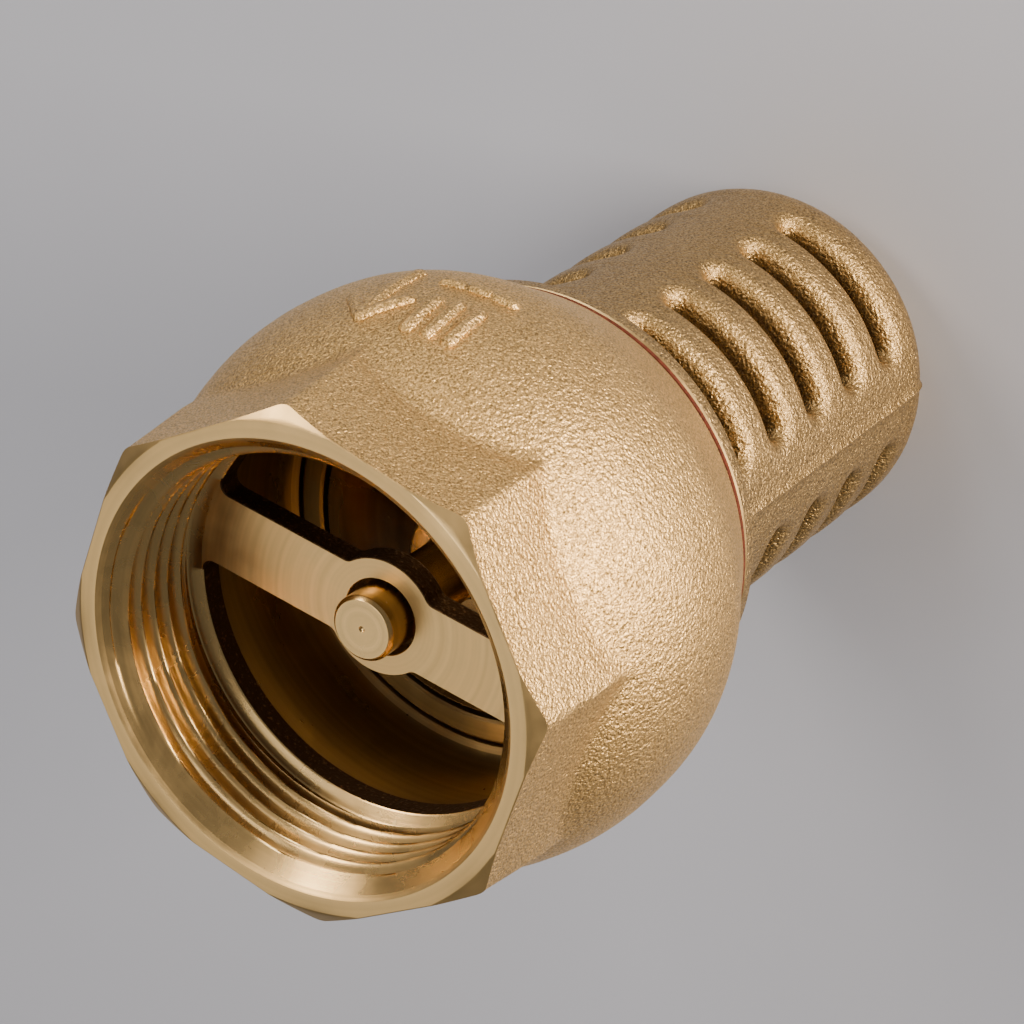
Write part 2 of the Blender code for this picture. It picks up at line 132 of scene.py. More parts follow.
class StrainerSizes(bpy.types.PropertyGroup):
    """Strainer: basket, slots, flange and neck."""
    basket_radius: size("Basket", 0.02062, "Outside of the basket")
    basket_length: size("Basket length", 0.0490, "Closed end to the shoulder")
    wall: size("Wall", 0.0028, "Thickness of the basket")
    end_rounding: size("End rounding", 0.0060, "Edge of the closed end")
    slot_height: size("Slot height", 0.0030, "Open height of a slot")
    slot_span: turn("Slot span", math.radians(58), "Open angle of a slot")
    slot_turn: turn("Slot turn", math.radians(-70), "Middle of the first column")
    slot_rounding: size("Slot rounding", 0.0019, "Soft outer edge of a slot")
    rows: count("Rows", 5, "Slots in one column")
    columns: count("Columns", 4, "Columns of slots")
    last_slot: size("Last slot", 0.0107, "Closed end to the middle of the last row")
    first_slot: size("First slot", 0.0033, "Shoulder to the middle of the first row")
    parting_ridge: size("Parting ridge", 0.00032, "Height of the mould's parting line")
    throat: size("Throat", 0.01582, "Opening under the disc")
    counterbore: size("Counterbore", 0.02032, "Recess that holds the disc")
    neck_wall: size("Neck wall", 0.0074, "Throat to the outside of the neck")
    seat_depth: size("Seat depth", 0.0061, "Top of the neck to the seat")
    flange_thickness: size("Flange", 0.0020, "Thickness of the flange")
    floor_thickness: size("Closed end", 0.0035, "Thickness of the closed end")
    spider_hole: size("Lower guide hole", 0.0029, "Hole that guides the stem's tail")
    spider_boss: size("Lower guide boss", 0.0055, "Boss of the lower guide")
    spider_width: size("Lower guide width", 0.0060, "Width of the lower guide's arms")
    spider_depth: size("Lower guide depth", 0.0154, "Top of the neck to the guide")
    spider_thickness: size("Lower guide height", 0.0030, "Height of the lower guide")
    spider_fillet: size("Lower guide fillet", 0.0008, "Corners of the lower guide")


class PoppetSizes(bpy.types.PropertyGroup):
    """Poppet: stem, disc and what fastens them."""
    stem_radius: size("Stem", 0.00365, "Stem in the guide hole")
    collar_height: size("Collar height", 0.0042, "Collar that stops the lift")
    shank_radius: size("Shank", 0.0030, "Shank through the disc")
    tail_radius: size("Tail", 0.0026, "Lower guide of the stem")
    centre_drill: size("Centre drill", 0.00035, "Small drilled centre in the stem's tip")
    edge: size("Edge", 0.0004, "Small chamfers of the turned pieces")
    shank_thread: size("Shank thread", 0.0010, "Height of one turn of the nut's thread")
    washer_width: size("Split washer", 0.0020, "Width of the split washer's ring")
    washer_gap: size("Split", 0.0006, "Gap in the split washer")


class FinishColours(bpy.types.PropertyGroup):
    """Colours of the metals, the gasket and the seal."""
    cast: tint("Cast", (0.565, 0.362, 0.136), "Shot-blasted casting")
    strainer: tint("Strainer", (0.36, 0.238, 0.100), "Shot-blasted strainer")
    machined: tint("Machined", (0.70, 0.485, 0.215), "Turned faces")
    # Raw is far darker than the cast outside: painted shade for the walls inside the valve.
    raw: tint("Raw", (0.13, 0.075, 0.04), "Unmachined walls inside")
    # The disc is darkened below the machined brass: painted shade for the dim inside of the
    # valve.
    disc: tint("Disc", (0.40, 0.25, 0.12), "Poppet disc")
    gasket: tint("Gasket", (0.065, 0.013, 0.006), "Fibre gasket")
    seal: tint("Seal", (0.02, 0.02, 0.02), "Rubber seal")
    floor: tint("Floor", (0.405, 0.438, 0.545), "Studio floor")


# Node trees

def add_node(tree, kind, inputs=None, **settings):
    """A node with its settings, and each input set to a value or linked from a socket."""
    made = tree.nodes.new(kind)
    for key, value in settings.items():
        setattr(made, key, value)
    for key, value in (inputs or {}).items():
        if isinstance(value, bpy.types.NodeSocket):
            tree.links.new(value, made.inputs[key])
        else:
            made.inputs[key].default_value = value
    return made


def maths(tree, operation, *values):
    return add_node(tree, "ShaderNodeMath", dict(enumerate(values)),
                    operation=operation).outputs[0]


def weighted(tree, first, first_share, second, second_share):
    return maths(tree, "ADD", maths(tree, "MULTIPLY", first, first_share),
                 maths(tree, "MULTIPLY", second, second_share))


def axis_distance(tree, parts):
    """How far a point is from the Z axis, from its separated coordinates."""
    return maths(tree, "SQRT", maths(tree, "ADD", maths(tree, "POWER", parts["X"], 2.0),
                                     maths(tree, "POWER", parts["Y"], 2.0)))


def new_finish(name, metallic=0.0):
    """An empty node material, its Principled shader and the Object coordinates."""
    material = bpy.data.materials.new(name)
    material.use_nodes = True
    tree = material.node_tree
    shader = tree.nodes["Principled BSDF"]
    shader.inputs["Metallic"].default_value = metallic
    place = add_node(tree, "ShaderNodeTexCoord").outputs["Object"]
    return material, tree, shader, place


def noise_value(tree, place, scale, detail=2.0, rough=0.5, distortion=0.0):
    return add_node(tree, "ShaderNodeTexNoise", {
        "Vector": place, "Scale": scale, "Detail": detail, "Roughness": rough,
        "Distortion": distortion}).outputs["Fac"]


def line_noise(tree, along, scale, detail, rough):
    """Noise that changes along one measure only."""
    return add_node(tree, "ShaderNodeTexNoise", {
        "W": along, "Scale": scale, "Detail": detail, "Roughness": rough},
        noise_dimensions="1D").outputs["Fac"]


def set_colour(tree, shader, factor, first, second):
    """The base colour goes from first to second as the factor rises."""
    mix = add_node(tree, "ShaderNodeMix", data_type="RGBA")
    tree.links.new(factor, mix.inputs[0])
    mix.inputs[6].default_value = (*first, 1.0)
    mix.inputs[7].default_value = (*second, 1.0)
    tree.links.new(mix.outputs[2], shader.inputs["Base Color"])


def set_roughness(tree, shader, value, low, high, at_low, at_high):
    tree.links.new(map_range(tree, value, low, high, at_low, at_high),
                   shader.inputs["Roughness"])


def map_range(tree, value, low, high, to_low, to_high, smooth=False):
    return add_node(tree, "ShaderNodeMapRange", {
        "Value": value, "From Min": low, "From Max": high,
        "To Min": to_low, "To Max": to_high},
        interpolation_type="SMOOTHSTEP" if smooth else "LINEAR").outputs["Result"]


def add_bump(tree, shader, height, distance, strength=1.0):
    bump = add_node(tree, "ShaderNodeBump", {
        "Height": height, "Distance": distance, "Strength": strength})
    tree.links.new(bump.outputs["Normal"], shader.inputs["Normal"])


def scaled(colour, factor):
    return tuple(min(1.0, part * factor) for part in colour)


def blasted_metal(name, colour, grain=4000.0, depth=0.00016):
    """Shot-blasted casting: packed fine dents as bumps, bright and dark flecks that are painted
    glints and shade of the dents, and broad cloudy tones.
    """
    material, tree, shader, place = new_finish(name, metallic=1.0)
    fine = noise_value(tree, place, grain, rough=0.6)
    dents = add_node(tree, "ShaderNodeTexVoronoi", {"Vector": place, "Scale": grain * 0.62},
                     feature="SMOOTH_F1").outputs["Distance"]
    clouds = noise_value(tree, place, 85.0, detail=4.0, rough=0.6)
    flecks = noise_value(tree, place, grain * 1.25, detail=1.0)
    painted_glint_shade = map_range(tree, weighted(tree, fine, 0.6, flecks, 0.4), 0.38, 0.62, 0.0, 1.0)
    tone = weighted(tree, painted_glint_shade, 0.85, clouds, 0.15)
    # Fine noise and flecks carry the colour from 0.30 to 1.66 times its value: painted glints
    # and shade of the blasted dents.
    set_colour(tree, shader, tone, scaled(colour, 0.30), scaled(colour, 1.66))
    add_bump(tree, shader, maths(tree, "ADD", fine, dents), depth)
    set_roughness(tree, shader, flecks, 0.35, 0.62, 0.56, 0.33)
    return material


def turned_metal(name, colour, roughness, lines=9000.0, depth=0.000006, wear=0.12):
    """Lathe-turned metal: fine rings round the axis on faces and along it on round walls."""
    material, tree, shader, place = new_finish(name, metallic=1.0)
    parts = add_node(tree, "ShaderNodeSeparateXYZ", {"Vector": place}).outputs
    across = maths(tree, "ADD", axis_distance(tree, parts), parts["Z"])
    rings = line_noise(tree, across, lines, 2.0, 0.6)
    wide = line_noise(tree, across, lines / 7, 1.0, 0.5)
    smears = noise_value(tree, place, 160.0, detail=4.0, rough=0.6, distortion=0.6)
    tone = map_range(tree, weighted(tree, wide, 0.5, smears, 0.5), 0.35, 0.65, 0.0, 1.0)
    set_colour(tree, shader, tone, scaled(colour, 1.0 - wear), scaled(colour, 1.0 + wear / 2))
    add_bump(tree, shader, maths(tree, "ADD", rings, wide), depth)
    set_roughness(tree, shader, smears, 0.3, 0.7, roughness * 0.85, roughness * 1.2)
    return material


def raw_metal(name, colour):
    """Unmachined casting wall: coarse, with bright specks where the tool has touched; its dark
    base colour is painted shade for the inside of the valve.
    """
    material, tree, shader, place = new_finish(name, metallic=0.9)
    coarse = noise_value(tree, place, 900.0, detail=5.0, rough=0.7)
    specks = noise_value(tree, place, 2600.0)
    set_colour(tree, shader, map_range(tree, specks, 0.60, 0.74, 0.0, 1.0),
               colour, scaled(colour, 2.6))
    add_bump(tree, shader, maths(tree, "ADD", coarse, specks), distance=0.00016)
    set_roughness(tree, shader, specks, 0.5, 0.7, 0.55, 0.28)
    return material


def pressed_fibre(name, colour):
    """Gasket board: matt, mottled by its fibres."""
    material, tree, shader, place = new_finish(name)
    fibres = noise_value(tree, place, 1500.0, detail=4.0, rough=0.7, distortion=1.2)
    set_colour(tree, shader, map_range(tree, fibres, 0.35, 0.65, 0.0, 1.0),
               scaled(colour, 0.6), scaled(colour, 1.5))
    add_bump(tree, shader, fibres, distance=0.00006)
    shader.inputs["Roughness"].default_value = 0.8
    shader.inputs["Specular IOR Level"].default_value = 0.2
    return material


def moulded_rubber(name, colour):
    """Seal rubber: dull black with faint dust and a fine skin."""
    material, tree, shader, place = new_finish(name)
    skin_grain = noise_value(tree, place, 1800.0, detail=3.0, rough=0.6)
    dust = noise_value(tree, place, 240.0, detail=4.0, rough=0.6)
    set_colour(tree, shader, map_range(tree, dust, 0.45, 0.75, 0.0, 1.0),
               colour, scaled(colour, 2.6))
    add_bump(tree, shader, skin_grain, distance=0.00002)
    set_roughness(tree, shader, dust, 0.3, 0.7, 0.55, 0.75)
    return material


def finish_for(name):
    """The named finish, made once and shared."""
    label = f"foot_valve_{name}"
    if label in bpy.data.materials:
        return bpy.data.materials[label]
    colours = bpy.context.scene.foot_valve_colours
    machined = tuple(colours.machined)
    shallow = 0.000004
    maker, *values = {  # maker, colour, roughness, lines, depth of the lines, wear
        "blasted": (blasted_metal, tuple(colours.cast)),
        "strainer": (blasted_metal, tuple(colours.strainer)),
        "turned": (turned_metal, machined, 0.37),
        "thread": (turned_metal, machined, 0.27, 7000.0, shallow),
        # The chamber's finish is the machined colour darkened to 0.62 times: painted shade for
        # the dim inside of the globe.
        "chamber": (turned_metal, scaled(machined, 0.62), 0.30),
        "raw": (raw_metal, tuple(colours.raw)),
        "stem": (turned_metal, machined, 0.24, 12000.0, 0.000005),
        "disc": (turned_metal, tuple(colours.disc), 0.26, 5000.0, shallow, 0.3),
        "nut": (turned_metal, machined, 0.28, 6000.0),
        "fibre": (pressed_fibre, tuple(colours.gasket)),
        "rubber": (moulded_rubber, tuple(colours.seal)),
    }[name]
    return maker(label, *values)


# Meshes

def polar(radius, angle, height):
    return Vector((radius * math.cos(angle), radius * math.sin(angle), height))


def full_turn(steps):
    """Evenly spaced angles, once round."""
    return [FULL_TURN * step / steps for step in range(steps)]


def arc(centre, radius, start, end, steps, first=0):
    """Points along an arc, with both its ends. first leaves out points at its start."""
    angles = [start + (end - start) * step / steps for step in range(first, steps + 1)]
    return [Vector((centre[0] + radius * math.cos(angle),
                    centre[1] + radius * math.sin(angle))) for angle in angles]


def bezier(first, first_handle, last_handle, last, steps):
    """Points along a cubic curve between two ends with their handles."""
    points = []
    for step in range(steps + 1):
        t = step / steps
        weights = ((1 - t) ** 3, 3 * t * (1 - t) ** 2, 3 * t ** 2 * (1 - t), t ** 3)
        corners = (first, first_handle, last_handle, last)
        points.append(tuple(sum(w * c[axis] for w, c in zip(weights, corners))
                            for axis in (0, 1)))
    return points


def straight(first, last, steps):
    """Evenly spaced points from first to last, without last."""
    return [tuple(a + (b - a) * step / steps for a, b in zip(first, last))
            for step in range(steps)]


def softened(corners, steps=4):
    """An outline of (x, y) or (x, y, radius) corners, each radius turned into an arc."""
    points = []
    for index, corner in enumerate(corners):
        here = Vector(corner[:2])
        if len(corner) == 2:
            points.append(tuple(here))
            continue
        before = (Vector(corners[index - 1][:2]) - here)
        after = (Vector(corners[(index + 1) % len(corners)][:2]) - here)
        half = before.angle(after) / 2
        reach = corner[2] / math.tan(half)
        middle = here + (before.normalized() + after.normalized()).normalized() \
            * (corner[2] / math.sin(half))
        start = here + before.normalized() * reach - middle
        sweep = (here + after.normalized() * reach - middle).angle_signed(start)
        for step in range(steps + 1):
            spun = Matrix.Rotation(sweep * step / steps, 2) @ start
            points.append(tuple(middle + spun))
    return points


def skin(rings, closed=True, bands=None):
    """Faces between rings of points that have equal counts. bands gives each gap's material."""
    shape = bmesh.new()
    loops = [[shape.verts.new(point) for point in ring] for ring in rings]
    pairs = list(zip(loops, loops[1:] + loops[:1]))
    if not closed:
        pairs = pairs[:-1]
    for index, (upper, lower) in enumerate(pairs):
        for step in range(len(upper)):
            after = (step + 1) % len(upper)
            face = shape.faces.new((upper[step], lower[step], lower[after], upper[after]))
            face.material_index = bands[index] if bands else 0
    return shape


def turned(outline, segments):
    """Turns (radius, height) points about Z. Points on the axis close the shape."""
    rings = [[polar(radius, angle, height) for angle in full_turn(segments)]
             for radius, height in outline]
    shape = skin(rings, closed=outline[0][0] > 0.0)
    bmesh.ops.remove_doubles(shape, verts=shape.verts, dist=FINE)
    return shape


def finish_mesh(mesh):
    mesh.validate()
    mesh.shade_smooth()
    mesh.set_sharp_from_angle(angle=SHARP_ANGLE)


def add_piece(name, shape, finishes, outward=True):
    """An object for the shape, with the named finishes in its material slots."""
    if outward:
        bmesh.ops.recalc_face_normals(shape, faces=shape.faces)
    mesh = bpy.data.meshes.new(name)
    shape.to_mesh(mesh)
    shape.free()
    for finish in finishes:
        mesh.materials.append(finish_for(finish))
    finish_mesh(mesh)
    piece = bpy.data.objects.new(name, mesh)
    bpy.context.scene.collection.objects.link(piece)
    return piece


def cap_ends(shape, count):
    """Closes an open skin with a face at each end."""
    corners = list(shape.verts)
    shape.faces.new(corners[:count])
    shape.faces.new(corners[-count:])
    return shape


def keep_result(piece):
    """Replaces a piece's mesh by what its modifiers make of it, and removes them."""
    graph = bpy.context.evaluated_depsgraph_get()
    graph.update()
    result = bpy.data.meshes.new_from_object(piece.evaluated_get(graph), depsgraph=graph)
    old = piece.data
    piece.modifiers.clear()
    piece.data = result
    result.name = piece.name
    bpy.data.meshes.remove(old)


def combine(piece, tool):
    """Joins another piece to this one and removes it."""
    modifier = piece.modifiers.new(tool.name, "BOOLEAN")
    modifier.operation = "UNION"
    modifier.solver = "MANIFOLD"
    modifier.object = tool
    keep_result(piece)
    bpy.data.objects.remove(tool, do_unlink=True)
    finish_mesh(piece.data)


def grow(piece, tree, values):
    """Runs a geometry node tree on a piece and keeps the result as its mesh."""
    modifier = piece.modifiers.new(tree.name, "NODES")
    modifier.node_group = tree
    for item in tree.interface.items_tree:
        if item.item_type == "SOCKET" and item.in_out == "INPUT" and item.name in values:
            modifier[item.identifier] = values[item.name]
    keep_result(piece)


def new_geometry_tree(name, inputs):
    """A geometry node tree with its named inputs, and its input and output nodes."""
    tree = bpy.data.node_groups.new(name, "GeometryNodeTree")
    tree.interface.new_socket("Geometry", in_out="INPUT", socket_type="NodeSocketGeometry")
    for label, kind in inputs:
        tree.interface.new_socket(label, in_out="INPUT", socket_type=f"NodeSocket{kind}")
    tree.interface.new_socket("Geometry", in_out="OUTPUT", socket_type="NodeSocketGeometry")
    return tree, add_node(tree, "NodeGroupInput").outputs, add_node(tree, "NodeGroupOutput")


def end_tree(tree, geometry, material, result, selection=True):
    """Every tree ends with its instances made real and its material set."""
    real = add_node(tree, "GeometryNodeRealizeInstances", {"Geometry": geometry})
    coated = add_node(tree, "GeometryNodeSetMaterial", {
        "Geometry": real.outputs["Geometry"], "Material": material, "Selection": selection})
    tree.links.new(coated.outputs["Geometry"], result.inputs["Geometry"])


THREAD_MARGIN = 0.0005       # past its depth, how far from the crest a thread is cut


def thread_tree():
    """Cuts a helical thread into a turned wall, between two heights.

    Side is 1 for a thread inside a bore and -1 for one on a shaft.
    """
    tree, given, result = new_geometry_tree("Thread", [
        ("Crest Radius", "Float"), ("Depth", "Float"), ("Pitch", "Float"),
        ("Bottom", "Float"), ("Top", "Float"), ("Run Out", "Float"), ("Side", "Float"),
        ("Finish", "Material")])
    place = add_node(tree, "GeometryNodeInputPosition").outputs[0]
    parts = add_node(tree, "ShaderNodeSeparateXYZ", {"Vector": place}).outputs
    angle = maths(tree, "ARCTAN2", parts["Y"], parts["X"])
    own = axis_distance(tree, parts)
    turns = maths(tree, "SUBTRACT", maths(tree, "DIVIDE", parts["Z"], given["Pitch"]),
                  maths(tree, "DIVIDE", angle, FULL_TURN))
    wave = maths(tree, "PINGPONG", maths(tree, "MULTIPLY", turns, 2.0), 1.0)
    depth = map_range(tree, wave, 0.0, 1.0, 0.0, 1.0, smooth=True)
    fade_low = maths(tree, "DIVIDE", maths(tree, "SUBTRACT", parts["Z"], given["Bottom"]),
                     given["Run Out"])
    fade_high = maths(tree, "DIVIDE", maths(tree, "SUBTRACT", given["Top"], parts["Z"]),
                      given["Run Out"])
    fade = maths(tree, "MINIMUM", maths(tree, "MINIMUM", fade_low, fade_high), 1.0)
    cut = maths(tree, "MULTIPLY", maths(tree, "MULTIPLY", depth, given["Depth"]), fade)
    wanted = maths(tree, "ADD", maths(tree, "MULTIPLY", given["Crest Radius"], given["Side"]),
                   cut)
    signed = maths(tree, "MULTIPLY", own, given["Side"])
    radius = maths(tree, "MULTIPLY", maths(tree, "MAXIMUM", wanted, signed), given["Side"])
    away = maths(tree, "ABSOLUTE", maths(tree, "SUBTRACT", own, given["Crest Radius"]))
    near = maths(tree, "GREATER_THAN", maths(tree, "ADD", given["Depth"], THREAD_MARGIN), away)
    chosen = maths(tree, "MULTIPLY", near, maths(tree, "GREATER_THAN", fade, 0.0))
    share = maths(tree, "DIVIDE", radius, own)
    moved = add_node(tree, "ShaderNodeCombineXYZ", {
        "X": maths(tree, "MULTIPLY", parts["X"], share),
        "Y": maths(tree, "MULTIPLY", parts["Y"], share), "Z": parts["Z"]}).outputs[0]
    shifted = add_node(tree, "GeometryNodeSetPosition", {
        "Geometry": given["Geometry"], "Selection": chosen,
        "Position": moved}).outputs["Geometry"]
    end_tree(tree, shifted, given["Finish"], result, chosen)
    return tree


def cut_thread(piece, finish, **values):
    """Runs the thread's tree on a piece. Each value is named as its input."""
    tree = bpy.data.node_groups.get("Thread") or thread_tree()
    named = {key.replace("_", " ").title(): value for key, value in values.items()}
    grow(piece, tree, {**named, "Finish": finish_for(finish)})
    finish_mesh(piece.data)


def slotted_wall_tree():
    """Repeats one slot's stretch of wall in rows and columns, and welds them together."""
    tree, given, result = new_geometry_tree("Slotted wall", [
        ("Rows", "Int"), ("Columns", "Int"), ("Pitch", "Float"), ("First Height", "Float"),
        ("Turn", "Float"), ("Finish", "Material")])
    start = add_node(tree, "ShaderNodeCombineXYZ", {"Z": given["First Height"]}).outputs[0]
    step = add_node(tree, "ShaderNodeCombineXYZ", {"Z": given["Pitch"]}).outputs[0]
    rows = add_node(tree, "GeometryNodeMeshLine", {
        "Count": given["Rows"], "Start Location": start, "Offset": step})
    copies = add_node(tree, "GeometryNodeDuplicateElements", {
        "Geometry": rows.outputs["Mesh"], "Amount": given["Columns"]}, domain="POINT")
    sector = maths(tree, "DIVIDE", FULL_TURN, given["Columns"])
    angle = maths(tree, "ADD", given["Turn"],
                  maths(tree, "MULTIPLY", copies.outputs["Duplicate Index"], sector))
    spin = add_node(tree, "ShaderNodeCombineXYZ", {"Z": angle}).outputs[0]
    rotation = add_node(tree, "FunctionNodeEulerToRotation", {"Euler": spin}).outputs[0]
    placed = add_node(tree, "GeometryNodeInstanceOnPoints", {
        "Points": copies.outputs["Geometry"], "Instance": given["Geometry"],
        "Rotation": rotation})
    real = add_node(tree, "GeometryNodeRealizeInstances", {
        "Geometry": placed.outputs["Instances"]})
    welded = add_node(tree, "GeometryNodeMergeByDistance", {
        "Geometry": real.outputs["Geometry"], "Distance": FINE * 5})
    end_tree(tree, welded.outputs["Geometry"], given["Finish"], result)
    return tree


def place_piece(piece, body, slot, *nodes):
    """Declares what a finished piece rides on and hides the nodes it stands for. The slot, meant
    for its finish, is not used.
    """
    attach(piece, body)
    if nodes:
        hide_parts(*nodes)
    return piece


# Valve body

CAST, TURNED, THREAD, RAW, CHAMBER = range(5)
BODY_FINISHES = ("blasted", "turned", "thread", "raw", "chamber")
SOCKET_SIDES = 8
SIDE_COLUMNS = 32
SUNK_END = 0.0008            # how far a bar's ends run into the wall
BEVEL_SLOPE = 0.70           # fall of the corner bevel for each unit of radius
BEVEL_RINGS = (0.04, 0.35, 0.68)
RIDGE_AT_GLOBE = 0.0008      # rounding of the ridges where they run into the globe
UNEVENNESS = 0.00006         # hollows of the cast skin
UNEVEN_SCALE = 140.0
FRONT_STEPS = 52             # rings of the globe in front of its widest place
REAR_STEPS = 34
REAR_FULLNESS = 0.45         # how full the globe stays towards the lip
EDGE = 0.00012               # break round the mouth ring
TURN_STEPS = 16              # rings for each turn of the thread
RELIEF = 0.0019              # plain groove under the thread


def body_columns():
    """Angles round the body, closer together near the corners between the flats."""
    half = math.pi / SOCKET_SIDES
    angles = []
    for side in range(SOCKET_SIDES):
        for step in range(SIDE_COLUMNS):
            place = math.sin(math.pi / 2 * (2 * step / SIDE_COLUMNS - 1))
            angles.append(2 * half * side + half * place)
    return angles


def flats_radius(angle, apothem, rounding):
    """A polygon with slightly rounded corners, as a radius for each angle."""
    side = FULL_TURN / SOCKET_SIDES
    off = abs((angle + side / 2) % side - side / 2)
    centre = (apothem - rounding) / math.cos(side / 2)
    tangent = math.atan2((apothem - rounding) * math.tan(side / 2), apothem)
    if off <= tangent:
        return apothem / math.cos(off)
    away = side / 2 - off
    return centre * math.cos(away) + math.sqrt(rounding ** 2 - (centre * math.sin(away)) ** 2)


def drafted_radius(sizes, angle, depth):
    """The octagon's outside: a little smaller and rounder at the mouth than at the globe."""
    share = min(depth / sizes.draft_length, 1.0)
    apothem = sizes.mouth_apothem + (sizes.socket_apothem - sizes.mouth_apothem) * share
    rounding = sizes.ridge_rounding + (RIDGE_AT_GLOBE - sizes.ridge_rounding) * share
    return flats_radius(angle, apothem, rounding)


def smooth_larger(first, second, reach):
    """The larger of two values, with a blend where they are within reach of each other."""
    share = max(reach - abs(first - second), 0.0) / reach
    return max(first, second) + share * share * reach / 4


def hollow(point):
    """How far the cast skin lies under its true surface at a point."""
    value = noise.fractal(point * UNEVEN_SCALE, 1.0, 2.0, 3)
    return UNEVENNESS * (0.5 + 0.5 * max(-1.0, min(1.0, value)))


def globe_front(sizes, drop):
    radius = node_radius("valve_body")
    rise = min(max(sizes.equator - drop, 0.0), sizes.front_radius)
    return radius - sizes.front_radius + math.sqrt(sizes.front_radius ** 2 - rise ** 2)


def globe_rear(sizes, steps):
    """(radius, height) from the equator down to the lip."""
    radius = node_radius("valve_body")
    lip = node_radius("body_gasket") + BREAK
    equator = MOUTH - sizes.equator
    reach = (equator - LIP_FACE) / 2
    return bezier((radius, equator), (radius, equator - reach),
                  (lip + reach * REAR_FULLNESS, LIP_FACE + reach), (lip, LIP_FACE), steps)


def body_rings(sizes):
    """Rings of points from the mouth's outer edge down the outside and back up the inside."""
    angles = body_columns()
    rings, bands = [], []

    def add(ring, band):
        rings.append(ring)
        bands.append(band)

    corner = [drafted_radius(sizes, angle, 0.0) for angle in angles]
    inner = [min(sizes.ring_radius, radius - EDGE) for radius in corner]
    bevel = [(outer - ring) * BEVEL_SLOPE for outer, ring in zip(corner, inner)]
    add([polar(ring - EDGE, angle, MOUTH) for angle, ring in zip(angles, inner)], TURNED)
    for share in BEVEL_RINGS:
        add([polar(ring + drop * share / BEVEL_SLOPE, angle, MOUTH - drop * share)
             for angle, ring, drop in zip(angles, inner, bevel)], TURNED)
    for step in range(FRONT_STEPS):
        share = step / FRONT_STEPS
        ring = []
        for angle, drop in zip(angles, bevel):
            depth = drop + (sizes.equator - drop) * share
            flat = drafted_radius(sizes, angle, depth - drop)
            radius = smooth_larger(flat, globe_front(sizes, depth), sizes.scoop)
            point = polar(radius, angle, MOUTH - depth)
            if step > 0:
                point = polar(radius - hollow(point), angle, MOUTH - depth)
            ring.append(point)
        add(ring, CAST)
    rear = globe_rear(sizes, REAR_STEPS)
    for index, (radius, height) in enumerate(rear[:-1]):
        add([polar(radius - (hollow(polar(radius, angle, height)) if index else 0.0), angle,
                   height) for angle in angles], CAST)
    lip, lip_height = rear[-1]
    add([polar(lip - BREAK / 2, angle, lip_height + BREAK) for angle in angles], CAST)
    add([polar(lip - BREAK * 1.5, angle, lip_height) for angle in angles], TURNED)
    for radius, height, band in inside_outline(sizes):
        add([polar(radius, angle, height) for angle in angles], band)
    return rings, bands


def inside_outline(sizes):
    """(radius, height, finish below it) from the lip up the inside to the mouth ring."""
    bridge_top = MOUTH - sizes.socket_depth
    bridge_bottom = bridge_top - sizes.bridge_thickness
    equator = MOUTH - sizes.equator
    rear_bore = node_radius("body_gasket") - sizes.lip_width
    land = sizes.bore - BREAK
    root = sizes.bore + sizes.thread_depth
    roof = land + 10 * BREAK
    swell_end = NECK_TOP + MESH_GAP
    chamfer = sizes.thread_depth + sizes.mouth_chamfer
    start = bridge_top + RELIEF + 3 * BREAK
    chamfer_start = MOUTH - chamfer

    def steps(height):
        return round(height / sizes.thread_pitch * TURN_STEPS)

    stretches = [
        (TURNED, [(rear_bore + BREAK, LIP_FACE), (rear_bore, LIP_FACE + BREAK),
                  (rear_bore, swell_end - 2 * MESH_GAP)]),
        (CHAMBER, bezier((rear_bore + 2 * MESH_GAP, swell_end),
                         (sizes.chamber, equator - sizes.chamber_reach),
                         (sizes.chamber, equator + sizes.chamber_reach),
                         (roof, bridge_bottom - MESH_GAP), 24)),
        (RAW, [(roof - MESH_GAP, bridge_bottom), (land + 2 * BREAK, bridge_bottom),
               (land, bridge_bottom + 2 * BREAK)]),
        (RAW, straight((land, bridge_bottom + 3 * BREAK), (land, bridge_top - MESH_GAP / 2), 8)),
        (THREAD, [(land, bridge_top - MESH_GAP / 2), (land + MESH_GAP / 2, bridge_top),
                  (root - BREAK, bridge_top + 2 * BREAK), (root, bridge_top + 3 * BREAK),
                  (root, bridge_top + RELIEF), (root - BREAK, bridge_top + RELIEF + BREAK)]),
        (THREAD, straight((sizes.bore, start), (sizes.bore, chamfer_start),
                          steps(chamfer_start - start))),
        (TURNED, straight((sizes.bore, chamfer_start), (sizes.bore + chamfer, MOUTH),
                          steps(chamfer))),
        (TURNED, [(sizes.bore + chamfer + BREAK * 0.4, MOUTH)])]
    return [(*point, band) for band, points in stretches for point in points]


def bar_outline(half, boss, reach, wall, fillet):
    """One quarter of a bar's edge, from its end at +X round to its boss at +Y."""
    middle = (0.0, 0.0)
    across = wall - fillet
    corner = Vector((math.sqrt(across ** 2 - (half + fillet) ** 2), half + fillet))
    end_turn = math.atan2(corner.y, corner.x)
    far = boss + fillet
    knee = Vector((math.sqrt(far ** 2 - (half + fillet) ** 2), half + fillet))
    knee_turn = math.atan2(knee.y, knee.x)
    return (arc(middle, reach, 0.0, end_turn, 5)
            + arc(corner, fillet, end_turn, -math.pi / 2, 7)
            + arc(knee, fillet, 3 * math.pi / 2, knee_turn + math.pi, 7)
            + arc(middle, boss, knee_turn, math.pi / 2, 12, first=1))


def shifted_outwards(points, amount):
    """A closed anticlockwise outline moved outwards by an amount."""
    moved = []
    for index, point in enumerate(points):
        along = points[(index + 1) % len(points)] - points[index - 1]
        moved.append(point + amount * Vector((along.y, -along.x)).normalized())
    return moved


